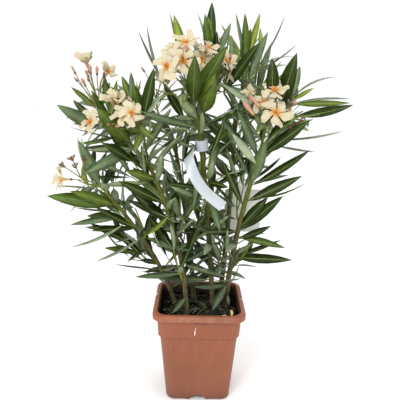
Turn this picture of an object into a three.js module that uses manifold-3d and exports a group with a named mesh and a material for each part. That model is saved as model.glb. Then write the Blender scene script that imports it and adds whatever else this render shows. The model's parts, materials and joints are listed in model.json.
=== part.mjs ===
// A potted oleander: six stems from one root in a square nursery pot, with forked boughs, leafy shoots
// in whorls of three, apricot blossom, and the two blank plastic labels that hang in it.
// Millimetres, +Z up. The origin is the centre of the flat underside of the pot, and +Y points to the rear.
import * as THREE from "three";
import { mergeVertices } from "three/addons/utils/BufferGeometryUtils.js";
import Module from "manifold-3d";

const wasm = await Module();
wasm.setup();

// Running gap between pieces that touch, and the sizes of what is one point and what is a sliver
const GAP = 0.3;
const SAME_POINT = 0.001;
const SLIVER = 0.05;

// Pot: full widths across the flats, heights above the ground
const RIM_WIDTH = 200;
const RIM_TOP = 215;
const RIM_DEPTH = 14;
const RIM_FLANGE = 10;
const RIM_ROUND = 3;
const COLLAR_WIDTH = 182;
const COLLAR_FOOT_WIDTH = 177;
const COLLAR_FOOT = 158;
const BODY_WIDTH = 169;
const BASE_WIDTH = 142;
const BASE_CHAMFER = 5;
const WALL = 2;
const CORNER_SHARE = 0.27;
const CORNER_STEPS = 3;
const CHANNEL_WIDTH = 28;
const CHANNEL_HEIGHT = 8;
const CHANNEL_INNER_END = 22;
const DRAIN_RADIUS = 5;
const DRAIN_SIDES = 12;
const DRAIN_PLACE = 48;

// Compost: its level surface carries the cut feet of the stems
const SOIL_TOP = 190;
const SOIL_FOOT = CHANNEL_HEIGHT + WALL + GAP;
const SLANT = 0.1;

// Stems: foot on the compost, tip, how far the bend follows the tip sideways and upwards, and two radii
const STEMS = {
  stem_left: { foot: [-56, 20], tip: [-197, -50, 468], spread: 0.2, rise: 0.43, radii: [5.5, 4.2] },
  stem_centre_left: { foot: [-27, -35], tip: [-106, -35, 515], spread: 0.1, rise: 0.55, radii: [6.5, 5] },
  stem_centre: { foot: [32, 5], tip: [-4, -34, 590], spread: 0.3, rise: 0.4, radii: [6, 5] },
  stem_right: { foot: [61, 10], tip: [120, -45, 560], spread: 0.15, rise: 0.45, radii: [7.5, 5] },
  stem_rear_right: { foot: [50, 54], tip: [75, 78, 600], spread: 0.8, rise: 0.45, radii: [6, 4.8] },
  stem_rear_left: { foot: [-12, 50], tip: [-62, 120, 540], spread: 0.2, rise: 0.45, radii: [6, 4.6] },
};
const STEM_SIDES = 7;
const STEM_STEPS = 8;
const FOOT_CROWDING = 1.5;
const FLARE = 0.45;
const FLARE_FADE = 10;

// Boughs: each grows on from a stem's tip
const BOUGHS = {
  bough_left_upper: { on: "stem_centre_left", tip: [-192, 20, 594] },
  bough_left_inner: { on: "stem_centre_left", tip: [-119, -45, 590] },
  bough_top_front: { on: "stem_centre", tip: [-26, -54, 664] },
  bough_top: { on: "stem_centre", tip: [8, -20, 676] },
  bough_top_left: { on: "stem_centre", tip: [-46, -4, 654] },
  bough_right_front: { on: "stem_right", tip: [124, -62, 606] },
  bough_right_outer: { on: "stem_right", tip: [160, -42, 614] },
  bough_rear_right_top: { on: "stem_rear_right", tip: [96, 98, 690] },
  bough_rear_right_inner: { on: "stem_rear_right", tip: [47, 30, 668] },
  bough_rear_right_low: { on: "stem_rear_right", tip: [108, 150, 640] },
  bough_rear_left_top: { on: "stem_rear_left", tip: [-104, 168, 612] },
  bough_rear_left_inner: { on: "stem_rear_left", tip: [-22, 150, 622] },
};
const BOUGH_STEPS = 4;
const BOUGH_SHARE = 0.62;
const CROWDED_BOUGH_SHARE = 0.56;
const BOUGH_TAPER = 0.8;
const APART_ON_TIP = 1.12;
const STRAIGHT_START = 0.4;

// Leafy shoots on the tips of the stems and boughs: tip of the shoot's own stem, open flowers and buds
const SHOOTS = {
  foliage_left_low_bloom: { on: "stem_left", tip: [-243, -70, 500], flowers: 1, buds: 7 },
  foliage_left_low: { on: "stem_left", tip: [-240, -18, 478], flowers: 0, buds: 0 },
  foliage_left_top_bloom: { on: "bough_left_upper", tip: [-234, 55, 664], flowers: 3, buds: 9 },
  foliage_left_outer: { on: "bough_left_upper", tip: [-250, -6, 616], flowers: 0, buds: 0 },
  foliage_left_front_bloom: { on: "bough_left_upper", tip: [-212, -40, 596], flowers: 2, buds: 1 },
  foliage_left_inner_bloom: { on: "bough_left_inner", tip: [-142, -80, 612], flowers: 4, buds: 1 },
  foliage_left_inner_top: { on: "bough_left_inner", tip: [-137, -22, 636], flowers: 0, buds: 0 },
  foliage_top_bloom: { on: "bough_top_front", tip: [-32, -68, 708], flowers: 7, buds: 3 },
  foliage_top: { on: "bough_top", tip: [12, 4, 758], flowers: 0, buds: 0 },
  foliage_top_left: { on: "bough_top_left", tip: [-84, -4, 690], flowers: 0, buds: 0 },
  foliage_right_bloom: { on: "bough_right_front", tip: [126, -78, 632], flowers: 5, buds: 5 },
  foliage_right_top: { on: "bough_right_outer", tip: [158, -8, 664], flowers: 0, buds: 0 },
  foliage_right_outer: { on: "bough_right_outer", tip: [196, -60, 640], flowers: 0, buds: 2 },
  foliage_rear_right_top: { on: "bough_rear_right_top", tip: [92, 108, 740], flowers: 0, buds: 0 },
  foliage_rear_right_outer: { on: "bough_rear_right_top", tip: [136, 92, 734], flowers: 0, buds: 0 },
  foliage_centre_bloom: { on: "bough_rear_right_inner", tip: [50, 18, 698], flowers: 2, buds: 2 },
  foliage_rear_right_low: { on: "bough_rear_right_low", tip: [138, 190, 676], flowers: 0, buds: 0 },
  foliage_rear_left_bloom: { on: "bough_rear_left_top", tip: [-112, 196, 676], flowers: 2, buds: 3 },
  foliage_rear_left_outer: { on: "bough_rear_left_top", tip: [-156, 150, 636], flowers: 0, buds: 0 },
  foliage_rear_centre: { on: "bough_rear_left_inner", tip: [-12, 184, 694], flowers: 0, buds: 0 },
};

// Leafy side shoots up each stem: how many, where the first and last stand, and the first bearing
const SIDE_SHOOTS = {
  stem_left: { count: 3, first: 0.42, last: 0.86, bearing: 200 },
  stem_centre_left: { count: 3, first: 0.24, last: 0.84, bearing: 250 },
  stem_centre: { count: 3, first: 0.24, last: 0.74, bearing: 20 },
  stem_right: { count: 3, first: 0.3, last: 0.88, bearing: 350 },
  stem_rear_right: { count: 2, first: 0.3, last: 0.8, bearing: 150 },
  stem_rear_left: { count: 2, first: 0.36, last: 0.7, bearing: 150 },
};
const SIDE_TURN = 137.5;
const SIDE_OUT = 28;
const SIDE_UP = 78;
const SIDE_ELBOW = 10;

// Growth rule: whorls of three leaves up each twig, steeper and shorter towards the twig's end
const FIRST_SEED = 11;
const TWIG_SIDES = 3;
const TWIG_STEPS = 3;
const TWIG_RADIUS = 2.3;
const TWIG_TIP_RADIUS = 1.3;
const WHORL_STEP = 29;
const WHORL_START = 12;
const WHORL_END = 4;
const LEAF_STAGGER = 0.9;
const LEAVES_IN_WHORL = 3;
const LEAF_LENGTH = 118;
const LEAF_TIP_LENGTH = 100;
const LEAF_WIDTH_SHARE = 0.17;
const LEAF_THICKNESS_SHARE = 0.013;
const LEAF_WIDEST = 0.42;
const LEAF_BASE_ANGLE = 66;
const LEAF_TIP_ANGLE = 22;
const LEAF_TURN = 14;
const LEAF_RETRY_TURN = 16;
const LEAF_ANGLE_RANGE = [-7, 9];
const LEAF_LENGTH_RANGE = [0.84, 1.1];
const LEAF_RETRY_LENGTH = 0.9;
const FORK_STEPS = 2;
const FORK_PLACES = [0.34, 0.62];
const SIDE_FORK_PLACES = [0.45];
const FORK_ANGLE = 42;
const FORK_LENGTH = 46;
const FORK_LIFT = 8;
const FORK_RADIUS_SHARE = 0.85;
const FORK_TURN_RANGE = [-25, 25];
const FORK_LENGTH_RANGE = [0.85, 1.15];
const FORK_ANGLE_RANGE = [-8, 8];
const FORK_TESTS = [0.3, 0.65, 1];

// Blossom: a cyme of funnel flowers and pointed buds on the shoot's end
const FLOWER_RADIUS = 26;
const FLOWER_DEPTH = 20;
const PETALS = 5;
const PETAL_POINTS = 3;
const BUD_LENGTH = 14;
const BUD_WIDTH = 7;
const BUD_WIDEST = 0.7;
const CYME_HEIGHT = 40;
const CYME_SPREAD = 40;
const CYME_LIFT = 0.4;
const CYME_SINK = 2;
const CYME_TURN_RANGE = [-12, 12];
const CYME_SPREAD_RANGE = [0.85, 1.1];
const CYME_HEIGHT_RANGE = [0.7, 1.25];
const FLOWER_SIZE_RANGE = [0.88, 1.1];
const STALK_STAGGER = 0.4;
const STALK_RADII = [1.1, 0.9];
const PETAL_PINCH = [0, -8, 8];
const NOTCH_REACH = 0.45;
const THROAT_RISE = 0.45;
const NOTCH_RISE = 0.7;
const TUBE_SINK = 0.15;

// Clearances that the growth keeps, and the reach of the crown
const CLEAR = 0.5;
const LIMB_MARGIN = 2;
const SPOT_STEP = 4;
const LEAF_ROOT = 12;
const LEAF_TESTS = 16;
const LEAF_ATTEMPTS = 3;
const CROWN_SIDE = 312;
const CROWN_FRONT = 250;
const CROWN_TOP = 858;
const RIM_MARGIN = 2;
const MOUTH_MARGIN = 4;

// Labels: a strip closed round the centre stem under its fork, and a hang card on the rear right stem
const LABEL_THICKNESS = 0.8;
const JOIN_SHIFT = 1;
const LOOP_SIDES = 12;
const CORNER_SEGMENTS = 3;
const STRIP_WIDTH = 25;
const STRIP_STEPS = 14;
const STRIP_LOOP = 13;
const STRIP_PLACE = 0.955;
const STRIP_ROUTE = [[-27, -72, 546], [-15, -88, 512], [8, -100, 482], [42, -112, 456]];
const STRIP_FACING = [[-1, -0.3, 0], [0.1, -1, 0.35]];
const CARD_WIDTH = 86;
const CARD_HEIGHT = 104;
const CARD_CORNER = 6;
const CARD_TAB = 13;
const CARD_HOLE = 3;
const CARD_PLACE = [100, 85, 452];
const CARD_STRAP = 7;
const CARD_STRAP_STEPS = 6;
const CARD_HOLE_RISE = 4;
const CARD_BEND = [3, -2, 0];
const CARD_LOOP = 8;
const CARD_LOOP_PLACE = 0.7;

const MATERIALS = {
  pot: new THREE.MeshStandardMaterial({ color: 0xb4694c, roughness: 0.6, metalness: 0 }),
  compost: new THREE.MeshStandardMaterial({ color: 0x231b18, roughness: 0.95, metalness: 0 }),
  bark: new THREE.MeshStandardMaterial({ color: 0x6d6a35, roughness: 0.7, metalness: 0 }),
  foliage: new THREE.MeshStandardMaterial({ color: 0x3f5b34, roughness: 0.5, metalness: 0 }),
  label: new THREE.MeshStandardMaterial({ color: 0xe4e8ea, roughness: 0.4, metalness: 0 }),
};

const vector = (list) => new THREE.Vector3(...list);
const degrees = THREE.MathUtils.degToRad;
const lerp = THREE.MathUtils.lerp;

// Repeatable random numbers between two limits
function seeded(seed) {
  let state = seed;
  return (low, high) => {
    state = (state * 1664525 + 1013904223) % 4294967296;
    return low + ((high - low) * state) / 4294967296;
  };
}

// A geometry with only its positions, where each place is one point
function welded(geometry) {
  const loose = geometry.index ? geometry.toNonIndexed() : geometry.clone();
  loose.deleteAttribute("normal");
  loose.deleteAttribute("uv");
  return mergeVertices(loose, SAME_POINT);
}

function solidOf(geometry) {
  const { attributes, index } = welded(geometry);
  const triVerts = new Uint32Array(index.array);
  const mesh = new wasm.Mesh({ numProp: 3, vertProperties: attributes.position.array, triVerts });
  const solid = new wasm.Manifold(mesh);
  if (solid.volume() <= 0) throw new Error("a solid is inside out");
  return solid;
}

function geometryOf(solid) {
  const mesh = solid.getMesh();
  const geometry = new THREE.BufferGeometry();
  geometry.setAttribute("position", new THREE.BufferAttribute(mesh.vertProperties, 3));
  geometry.setIndex(new THREE.BufferAttribute(mesh.triVerts, 1));
  return geometry;
}

// A point of an edge that more than two faces share, where two joined solids only just touch
function pinchOf(geometry) {
  const { attributes, index } = welded(geometry);
  const uses = new Map();
  for (let i = 0; i < index.count; i++) {
    const next = i % 3 === 2 ? i - 2 : i + 1;
    const ends = [index.getX(i), index.getX(next)].sort((a, b) => a - b);
    const key = ends.join();
    uses.set(key, (uses.get(key) ?? 0) + 1);
    if (uses.get(key) > 2) return new THREE.Vector3().fromBufferAttribute(attributes.position, ends[0]);
  }
  return null;
}

// Joins solids into one body: its outer shell, without sealed hollows, loose scraps and slivers.
// Where that leaves a pinched edge, the last solid there is left out.
function fuse(solids) {
  const largest = (solid) => solid.decompose().sort((a, b) => b.volume() - a.volume())[0];
  const kept = [...solids];
  for (;;) {
    const outer = largest(wasm.Manifold.union(kept).simplify(SLIVER));
    const body = largest(solidOf(geometryOf(outer)));
    const pinch = pinchOf(geometryOf(body));
    if (!pinch) return body;
    const dot = solidOf(new THREE.OctahedronGeometry(SLIVER).translate(pinch.x, pinch.y, pinch.z));
    kept.splice(kept.findLastIndex((solid) => solid.minGap(dot, SLIVER) < SLIVER), 1);
  }
}

const plant = new THREE.Group();

function addNode(name, solid, material) {
  const mesh = new THREE.Mesh(geometryOf(solid), material);
  mesh.geometry.computeVertexNormals();
  mesh.name = name;
  plant.add(mesh);
}

// A unit vector across direction, as near as it can be to guide
function across(direction, guide) {
  return guide.clone().addScaledVector(direction, -guide.dot(direction)).normalize();
}

// A unit vector across direction that leans on the axis that direction follows least
function anyAcross(direction) {
  const size = [Math.abs(direction.x), Math.abs(direction.y), Math.abs(direction.z)];
  const least = size.indexOf(Math.min(...size));
  return across(direction, vector([0, 1, 2].map((axis) => (axis === least ? 1 : 0))));
}

// A limb: a bent tapering line with a frame that is carried along it without twist
function limb({ start, control, end, radii, flare = 0, levelFoot = false }) {
  const curve = new THREE.QuadraticBezierCurve3(start, control, end);
  const length = curve.getLength();
  const firstSide = anyAcross(curve.getTangent(0));
  const at = (t) => {
    const point = curve.getPoint(t);
    const tangent = curve.getTangent(t);
    const radius = lerp(radii[0], radii[1], t) * (1 + flare * Math.exp((-t * length) / FLARE_FADE));
    const level = levelFoot && t === 0;
    const along = level ? new THREE.Vector3(0, 0, 1) : tangent;
    const side = across(along, across(curve.getTangent(0), firstSide));
    const front = new THREE.Vector3().crossVectors(along, side);
    return { point, tangent, radius, side, front };
  };
  return { curve, length, at, radii, end: at(1) };
}

// The limb's solid: a cylinder whose rings are carried on to the limb's stations, closer near its foot
function limbGeometry(line, sides, steps, crowding = 1) {
  const geometry = new THREE.CylinderGeometry(1, 1, 1, sides, steps);
  const position = geometry.attributes.position;
  for (let i = 0; i < position.count; i++) {
    const share = Math.pow(position.getY(i) + 0.5, crowding);
    const { point, side, front, radius } = line.at(share);
    point.addScaledVector(side, position.getZ(i) * radius);
    point.addScaledVector(front, position.getX(i) * radius);
    position.setXYZ(i, point.x, point.y, point.z);
  }
  return geometry;
}

// A closed body of rounded squares, one for each width and height of the profile
function roundedSquare(profile) {
  const around = 4 * (CORNER_STEPS + 1);
  const geometry = new THREE.LatheGeometry(
    profile.map(([width, height]) => new THREE.Vector2(width / 2, height)),
    around,
  );
  const position = geometry.attributes.position;
  for (let i = 0; i <= around; i++) {
    const turn = i % around;
    const corner = Math.floor(turn / (CORNER_STEPS + 1));
    const step = turn % (CORNER_STEPS + 1);
    const angle = degrees(90 * corner + (90 * step) / CORNER_STEPS);
    const signX = Math.sign(Math.cos(degrees(90 * corner + 45)));
    const signY = Math.sign(Math.sin(degrees(90 * corner + 45)));
    profile.forEach(([width, height], j) => {
      const radius = (width / 2) * CORNER_SHARE;
      const centre = width / 2 - radius;
      position.setXYZ(
        i * profile.length + j,
        signX * centre + radius * Math.cos(angle),
        signY * centre + radius * Math.sin(angle),
        height,
      );
    });
  }
  return solidOf(geometry);
}

// A bar that runs in from one side of the foot towards its middle
function channel(width, height, innerEnd, bearing) {
  const reach = RIM_WIDTH / 2;
  const bar = new THREE.BoxGeometry(reach - innerEnd, width, height * 2);
  bar.translate((reach + innerEnd) / 2, 0, 0);
  bar.rotateZ(degrees(bearing));
  return solidOf(bar);
}

function drain(bearing) {
  const hole = new THREE.CylinderGeometry(DRAIN_RADIUS, DRAIN_RADIUS, 4 * CHANNEL_HEIGHT, DRAIN_SIDES);
  hole.rotateX(Math.PI / 2);
  hole.translate(DRAIN_PLACE, 0, 0);
  hole.rotateZ(degrees(bearing));
  return solidOf(hole);
}

function makePot() {
  const rimFoot = RIM_TOP - RIM_DEPTH;
  const outside = roundedSquare([
    [0, 0],
    [BASE_WIDTH - 2 * BASE_CHAMFER, 0],
    [BASE_WIDTH, BASE_CHAMFER],
    [BODY_WIDTH, COLLAR_FOOT],
    [COLLAR_FOOT_WIDTH, COLLAR_FOOT],
    [COLLAR_WIDTH, rimFoot],
    [RIM_WIDTH - 2 * RIM_ROUND, rimFoot],
    [RIM_WIDTH, rimFoot + RIM_ROUND],
    [RIM_WIDTH, RIM_TOP - RIM_ROUND],
    [RIM_WIDTH - 2 * RIM_ROUND, RIM_TOP],
    [0, RIM_TOP],
  ]);
  const inside = roundedSquare([
    [0, WALL],
    [BASE_WIDTH - 2 * BASE_CHAMFER, WALL],
    [BASE_WIDTH - 2 * WALL, BASE_CHAMFER + WALL],
    [BODY_WIDTH - 2 * WALL, COLLAR_FOOT + WALL],
    [COLLAR_FOOT_WIDTH - 2 * WALL, COLLAR_FOOT + 2 * WALL],
    [COLLAR_WIDTH - 2 * WALL, rimFoot],
    [RIM_WIDTH - 2 * RIM_FLANGE, RIM_TOP - 2 * WALL],
    [RIM_WIDTH - 2 * RIM_FLANGE, RIM_TOP + WALL],
    [0, RIM_TOP + WALL],
  ]);
  const bearings = [0, 90, 180, 270];
  const roofs = bearings.map((b) =>
    channel(CHANNEL_WIDTH + 2 * WALL, CHANNEL_HEIGHT + WALL, CHANNEL_INNER_END - WALL, b),
  );
  const channels = bearings.map((b) => channel(CHANNEL_WIDTH, CHANNEL_HEIGHT, CHANNEL_INNER_END, b));
  const drains = bearings.map(drain);
  const hollow = inside.subtract(wasm.Manifold.union(roofs));
  return outside.subtract(wasm.Manifold.union([hollow, ...channels, ...drains]));
}

// The compost fills the pot, a running gap clear of its walls
function makeCompost() {
  const slack = 2 * (WALL + GAP + SLANT);
  const ledge = COLLAR_FOOT + 2 * (WALL + GAP);
  return roundedSquare([
    [0, SOIL_FOOT],
    [BASE_WIDTH - slack, SOIL_FOOT],
    [BODY_WIDTH - slack, COLLAR_FOOT + WALL],
    [BODY_WIDTH - slack, ledge],
    [COLLAR_FOOT_WIDTH - slack, ledge],
    [COLLAR_FOOT_WIDTH - slack, SOIL_TOP],
    [0, SOIL_TOP],
  ]);
}

// Where several limbs grow from one tip, each starts beside the others on the tip's flat end
function startsOnTip(parent, tips, radius) {
  const middle = tips.reduce((sum, tip) => sum.add(tip), new THREE.Vector3()).divideScalar(tips.length);
  const { point, tangent, side, front } = parent.end;
  const order = tips.map((tip, index) => {
    const away = tip.clone().sub(middle);
    return { index, angle: Math.atan2(away.dot(front), away.dot(side)) };
  });
  order.sort((a, b) => a.angle - b.angle);
  const offset = tips.length > 1 ? (radius * APART_ON_TIP) / Math.sin(Math.PI / tips.length) : 0;
  const starts = [];
  order.forEach(({ index }, place) => {
    const angle = order[0].angle + (2 * Math.PI * place) / tips.length;
    starts[index] = point
      .clone()
      .addScaledVector(tangent, GAP)
      .addScaledVector(side, offset * Math.cos(angle))
      .addScaledVector(front, offset * Math.sin(angle));
  });
  return starts;
}

function growOnTips(specs, limbs, radiusOn, endShare) {
  const grown = new Map();
  const parents = new Set(Object.values(specs).map((spec) => spec.on));
  for (const on of parents) {
    const parent = limbs.get(on);
    const names = Object.keys(specs).filter((name) => specs[name].on === on);
    const tips = names.map((name) => vector(specs[name].tip));
    const radius = radiusOn(parent, names.length);
    const starts = startsOnTip(parent, tips, radius);
    names.forEach((name, i) => {
      const reach = tips[i].distanceTo(starts[i]) * STRAIGHT_START;
      const control = starts[i].clone().addScaledVector(parent.end.tangent, reach);
      const radii = [radius, radius * endShare];
      grown.set(name, limb({ start: starts[i], control, end: tips[i], radii }));
    });
  }
  return grown;
}

function growStems() {
  const grown = new Map();
  for (const [name, { foot, tip, spread, rise, radii }] of Object.entries(STEMS)) {
    const start = new THREE.Vector3(foot[0], foot[1], SOIL_TOP + GAP);
    const end = vector(tip);
    const control = new THREE.Vector3(
      lerp(start.x, end.x, spread),
      lerp(start.y, end.y, spread),
      lerp(start.z, end.z, rise),
    );
    grown.set(name, limb({ start, control, end, radii, flare: FLARE, levelFoot: true }));
  }
  return grown;
}

function growSideShoots(stems) {
  const grown = new Map();
  for (const [name, { count, first, last, bearing }] of Object.entries(SIDE_SHOOTS)) {
    for (let k = 0; k < count; k++) {
      const place = lerp(first, last, k / (count - 1));
      const { point, tangent, radius } = stems.get(name).at(place);
      const turn = degrees(bearing + SIDE_TURN * k);
      const out = across(tangent, new THREE.Vector3(Math.cos(turn), Math.sin(turn), 0));
      const start = point.clone().addScaledVector(out, radius + GAP);
      const control = start.clone().addScaledVector(out, SIDE_ELBOW);
      const end = start.clone().addScaledVector(out, SIDE_OUT).addScaledVector(tangent, SIDE_UP);
      const radii = [TWIG_RADIUS, TWIG_TIP_RADIUS];
      grown.set(name.replace("stem", "foliage") + "_side_" + (k + 1), limb({ start, control, end, radii }));
    }
  }
  return grown;
}

// Space of each mass: the room round its own stem that no limb, label or earlier mass has taken
function near(a, b, gap) {
  return [0, 1, 2].every((axis) => a.min[axis] - gap < b.max[axis] && b.min[axis] - gap < a.max[axis]);
}

function meets(solid, taken) {
  const box = solid.boundingBox();
  return taken.some((other) => near(box, other.box, CLEAR) && solid.minGap(other.solid, 2 * CLEAR) < CLEAR);
}

const entry = (solid) => ({ solid, box: solid.boundingBox() });

function insideCrown(point) {
  const overPot = point.z > RIM_TOP + RIM_MARGIN;
  const mouth = RIM_WIDTH / 2 - RIM_FLANGE - MOUTH_MARGIN;
  const overSoil = point.z > SOIL_TOP + MOUTH_MARGIN;
  const inMouth = Math.max(Math.abs(point.x), Math.abs(point.y)) < mouth && overSoil;
  const inReach =
    Math.abs(point.x) < CROWN_SIDE && Math.abs(point.y) < CROWN_FRONT && point.z < CROWN_TOP;
  return (overPot || inMouth) && inReach;
}

function clearOf(point, obstacles) {
  return obstacles.every(({ spots }) => spots.every(([spot, reach]) => point.distanceTo(spot) > reach));
}

// Spots along a limb that a leaf has to stay away from
function obstacleOf(line) {
  const count = Math.ceil(line.length / SPOT_STEP);
  const spots = [];
  for (let i = 0; i <= count; i++) {
    const { point, radius } = line.at(i / count);
    spots.push([point, Math.hypot(radius + LIMB_MARGIN, SPOT_STEP / 2)]);
  }
  return { line, spots };
}

// Leaf: a thin lozenge with a ridge above and a flat underside
function leafFrame(direction, guide) {
  const up = across(direction, guide);
  const side = new THREE.Vector3().crossVectors(direction, up);
  return { direction, up, side };
}

function leafPoints({ root, direction, side, length }, from, count) {
  const points = [];
  for (let i = 0; i <= count; i++) {
    const along = lerp(from, length, i / count);
    const share = Math.min(along / (LEAF_WIDEST * length), (length - along) / ((1 - LEAF_WIDEST) * length));
    for (const hand of [-0.5, 0, 0.5]) {
      const point = root.clone().addScaledVector(direction, along);
      points.push(point.addScaledVector(side, hand * LEAF_WIDTH_SHARE * length * share));
    }
  }
  return points;
}

// A double pyramid on three corners between two places on its axis, flattened across it
function spindle({ root, direction, up, side, length }, from, widest, width, depth) {
  const geometry = new THREE.SphereGeometry(1, 3, 2, Math.PI / 2);
  const position = geometry.attributes.position;
  for (let i = 0; i < position.count; i++) {
    const [x, y, z] = [position.getX(i), position.getY(i), position.getZ(i)];
    const along = y < -0.5 ? from : y > 0.5 ? length : widest * length;
    const point = root.clone().addScaledVector(direction, along);
    point.addScaledVector(side, (x * width) / Math.sqrt(3)).addScaledVector(up, (z * depth) / 1.5);
    position.setXYZ(i, point.x, point.y, point.z);
  }
  return solidOf(geometry);
}

function leafSolid(leaf, from) {
  const width = LEAF_WIDTH_SHARE * leaf.length;
  return spindle(leaf, from, LEAF_WIDEST, width, LEAF_THICKNESS_SHARE * leaf.length);
}

// Twigs of one mass: forks that leave its own stem to alternate sides
function growForks(main, places, draw) {
  const forks = [];
  const startTurn = draw(0, 360);
  places.forEach((place, k) => {
    const station = main.at(place);
    const turn = startTurn + 180 * k + draw(...FORK_TURN_RANGE);
    const length = FORK_LENGTH * draw(...FORK_LENGTH_RANGE);
    const direction = splay(station, turn, FORK_ANGLE + draw(...FORK_ANGLE_RANGE));
    const control = station.point.clone().addScaledVector(direction, length / 2);
    const end = station.point.clone().addScaledVector(direction, length);
    end.z += FORK_LIFT;
    const radii = [lerp(...main.radii, place), TWIG_TIP_RADIUS].map((r) => r * FORK_RADIUS_SHARE);
    forks.push(limb({ start: station.point, control, end, radii }));
  });
  return forks;
}

// A direction that leaves a limb's station at an angle to it, turned round it
function splay({ tangent, side, front }, turn, angle) {
  const [round, lean] = [degrees(turn), degrees(angle)];
  const out = side.clone().multiplyScalar(Math.cos(round)).addScaledVector(front, Math.sin(round));
  return tangent.clone().multiplyScalar(Math.cos(lean)).addScaledVector(out, Math.sin(lean));
}

// Whorls up a twig, each turned by half a step from the one below
function leafPlaces(twig, draw) {
  const places = [];
  const count = Math.max(1, Math.round((twig.length - WHORL_START) / WHORL_STEP));
  const firstTurn = draw(0, 360);
  for (let k = 0; k <= count; k++) {
    const share = k / count;
    const height = lerp(WHORL_START, twig.length - WHORL_END, share);
    for (let n = 0; n < LEAVES_IN_WHORL; n++) {
      const station = twig.at((height + LEAF_STAGGER * n) / twig.length);
      places.push({ station, share, turn: firstTurn + (360 / LEAVES_IN_WHORL) * (k / 2 + n) });
    }
  }
  return places;
}

// A leaf that finds no room is drawn again, a little shorter and turned further aside
function growLeaf({ station, share, turn }, attempt, draw) {
  const swing = LEAF_TURN + LEAF_RETRY_TURN * attempt;
  const angle = lerp(LEAF_BASE_ANGLE, LEAF_TIP_ANGLE, share) + draw(...LEAF_ANGLE_RANGE);
  const direction = splay(station, turn + draw(-swing, swing), angle);
  const full = lerp(LEAF_LENGTH, LEAF_TIP_LENGTH, share) * draw(...LEAF_LENGTH_RANGE);
  const length = full * Math.pow(LEAF_RETRY_LENGTH, attempt);
  return { ...leafFrame(direction, station.tangent), root: station.point, length };
}

// Flowers and buds stand on stalks that fan out of the shoot's end
function growCyme(main, spec, draw) {
  const { point, tangent, side, front } = main.end;
  const heads = [];
  const total = spec.flowers + spec.buds;
  for (let k = 0; k < total; k++) {
    const turn = degrees(SIDE_TURN * k + draw(...CYME_TURN_RANGE));
    const spread = CYME_SPREAD * Math.sqrt((k + 0.5) / total) * draw(...CYME_SPREAD_RANGE);
    const height = CYME_HEIGHT * draw(...CYME_HEIGHT_RANGE);
    const end = point.clone().addScaledVector(tangent, height * (1 - CYME_LIFT));
    end.addScaledVector(side, spread * Math.cos(turn)).addScaledVector(front, spread * Math.sin(turn));
    end.z += height * CYME_LIFT;
    const control = point.clone().addScaledVector(tangent, height * STRAIGHT_START);
    const base = point.clone().addScaledVector(tangent, -CYME_SINK - STALK_STAGGER * k);
    const stalk = limb({ start: base, control, end, radii: STALK_RADII });
    const direction = end.clone().sub(point).normalize();
    const size = draw(...FLOWER_SIZE_RANGE);
    const tip = end.clone().addScaledVector(direction, BUD_LENGTH * size);
    const frame = leafFrame(direction, anyAcross(direction));
    heads.push({ ...frame, flower: k < spec.flowers, stalk, base, root: end, tip, size });
  }
  return heads;
}

// A funnel flower: a cone whose rim is drawn out into five petals
function flowerSolid({ root, direction, up, side, size }) {
  const geometry = new THREE.ConeGeometry(1, 1, PETALS * PETAL_POINTS, 1);
  const position = geometry.attributes.position;
  for (let i = 0; i < position.count; i++) {
    const turn = Math.atan2(position.getX(i), position.getZ(i));
    const step = Math.round((turn / (2 * Math.PI)) * PETALS * PETAL_POINTS);
    const inPetal = (step + PETALS * PETAL_POINTS) % PETAL_POINTS;
    const outward = Math.hypot(position.getX(i), position.getZ(i));
    const notch = inPetal === 0;
    const pinch = degrees(PETAL_PINCH[inPetal]);
    const reach = outward * size * FLOWER_RADIUS * (notch ? NOTCH_REACH : 1);
    const rimRise = outward < 0.5 ? THROAT_RISE : notch ? NOTCH_RISE : 1;
    const rise = position.getY(i) > 0 ? -TUBE_SINK : rimRise;
    const point = root.clone().addScaledVector(direction, rise * size * FLOWER_DEPTH);
    point.addScaledVector(side, reach * Math.cos(turn + pinch));
    point.addScaledVector(up, reach * Math.sin(turn + pinch));
    position.setXYZ(i, point.x, point.y, point.z);
  }
  return solidOf(geometry);
}

// A bud and its stalk in one: a long spindle from the shoot's end
function budSolid({ base, tip }) {
  const direction = tip.clone().sub(base);
  const frame = leafFrame(direction.clone().normalize(), anyAcross(direction));
  const bud = { ...frame, root: base, length: direction.length() };
  return spindle(bud, 0, BUD_WIDEST, BUD_WIDTH, BUD_WIDTH);
}

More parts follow.
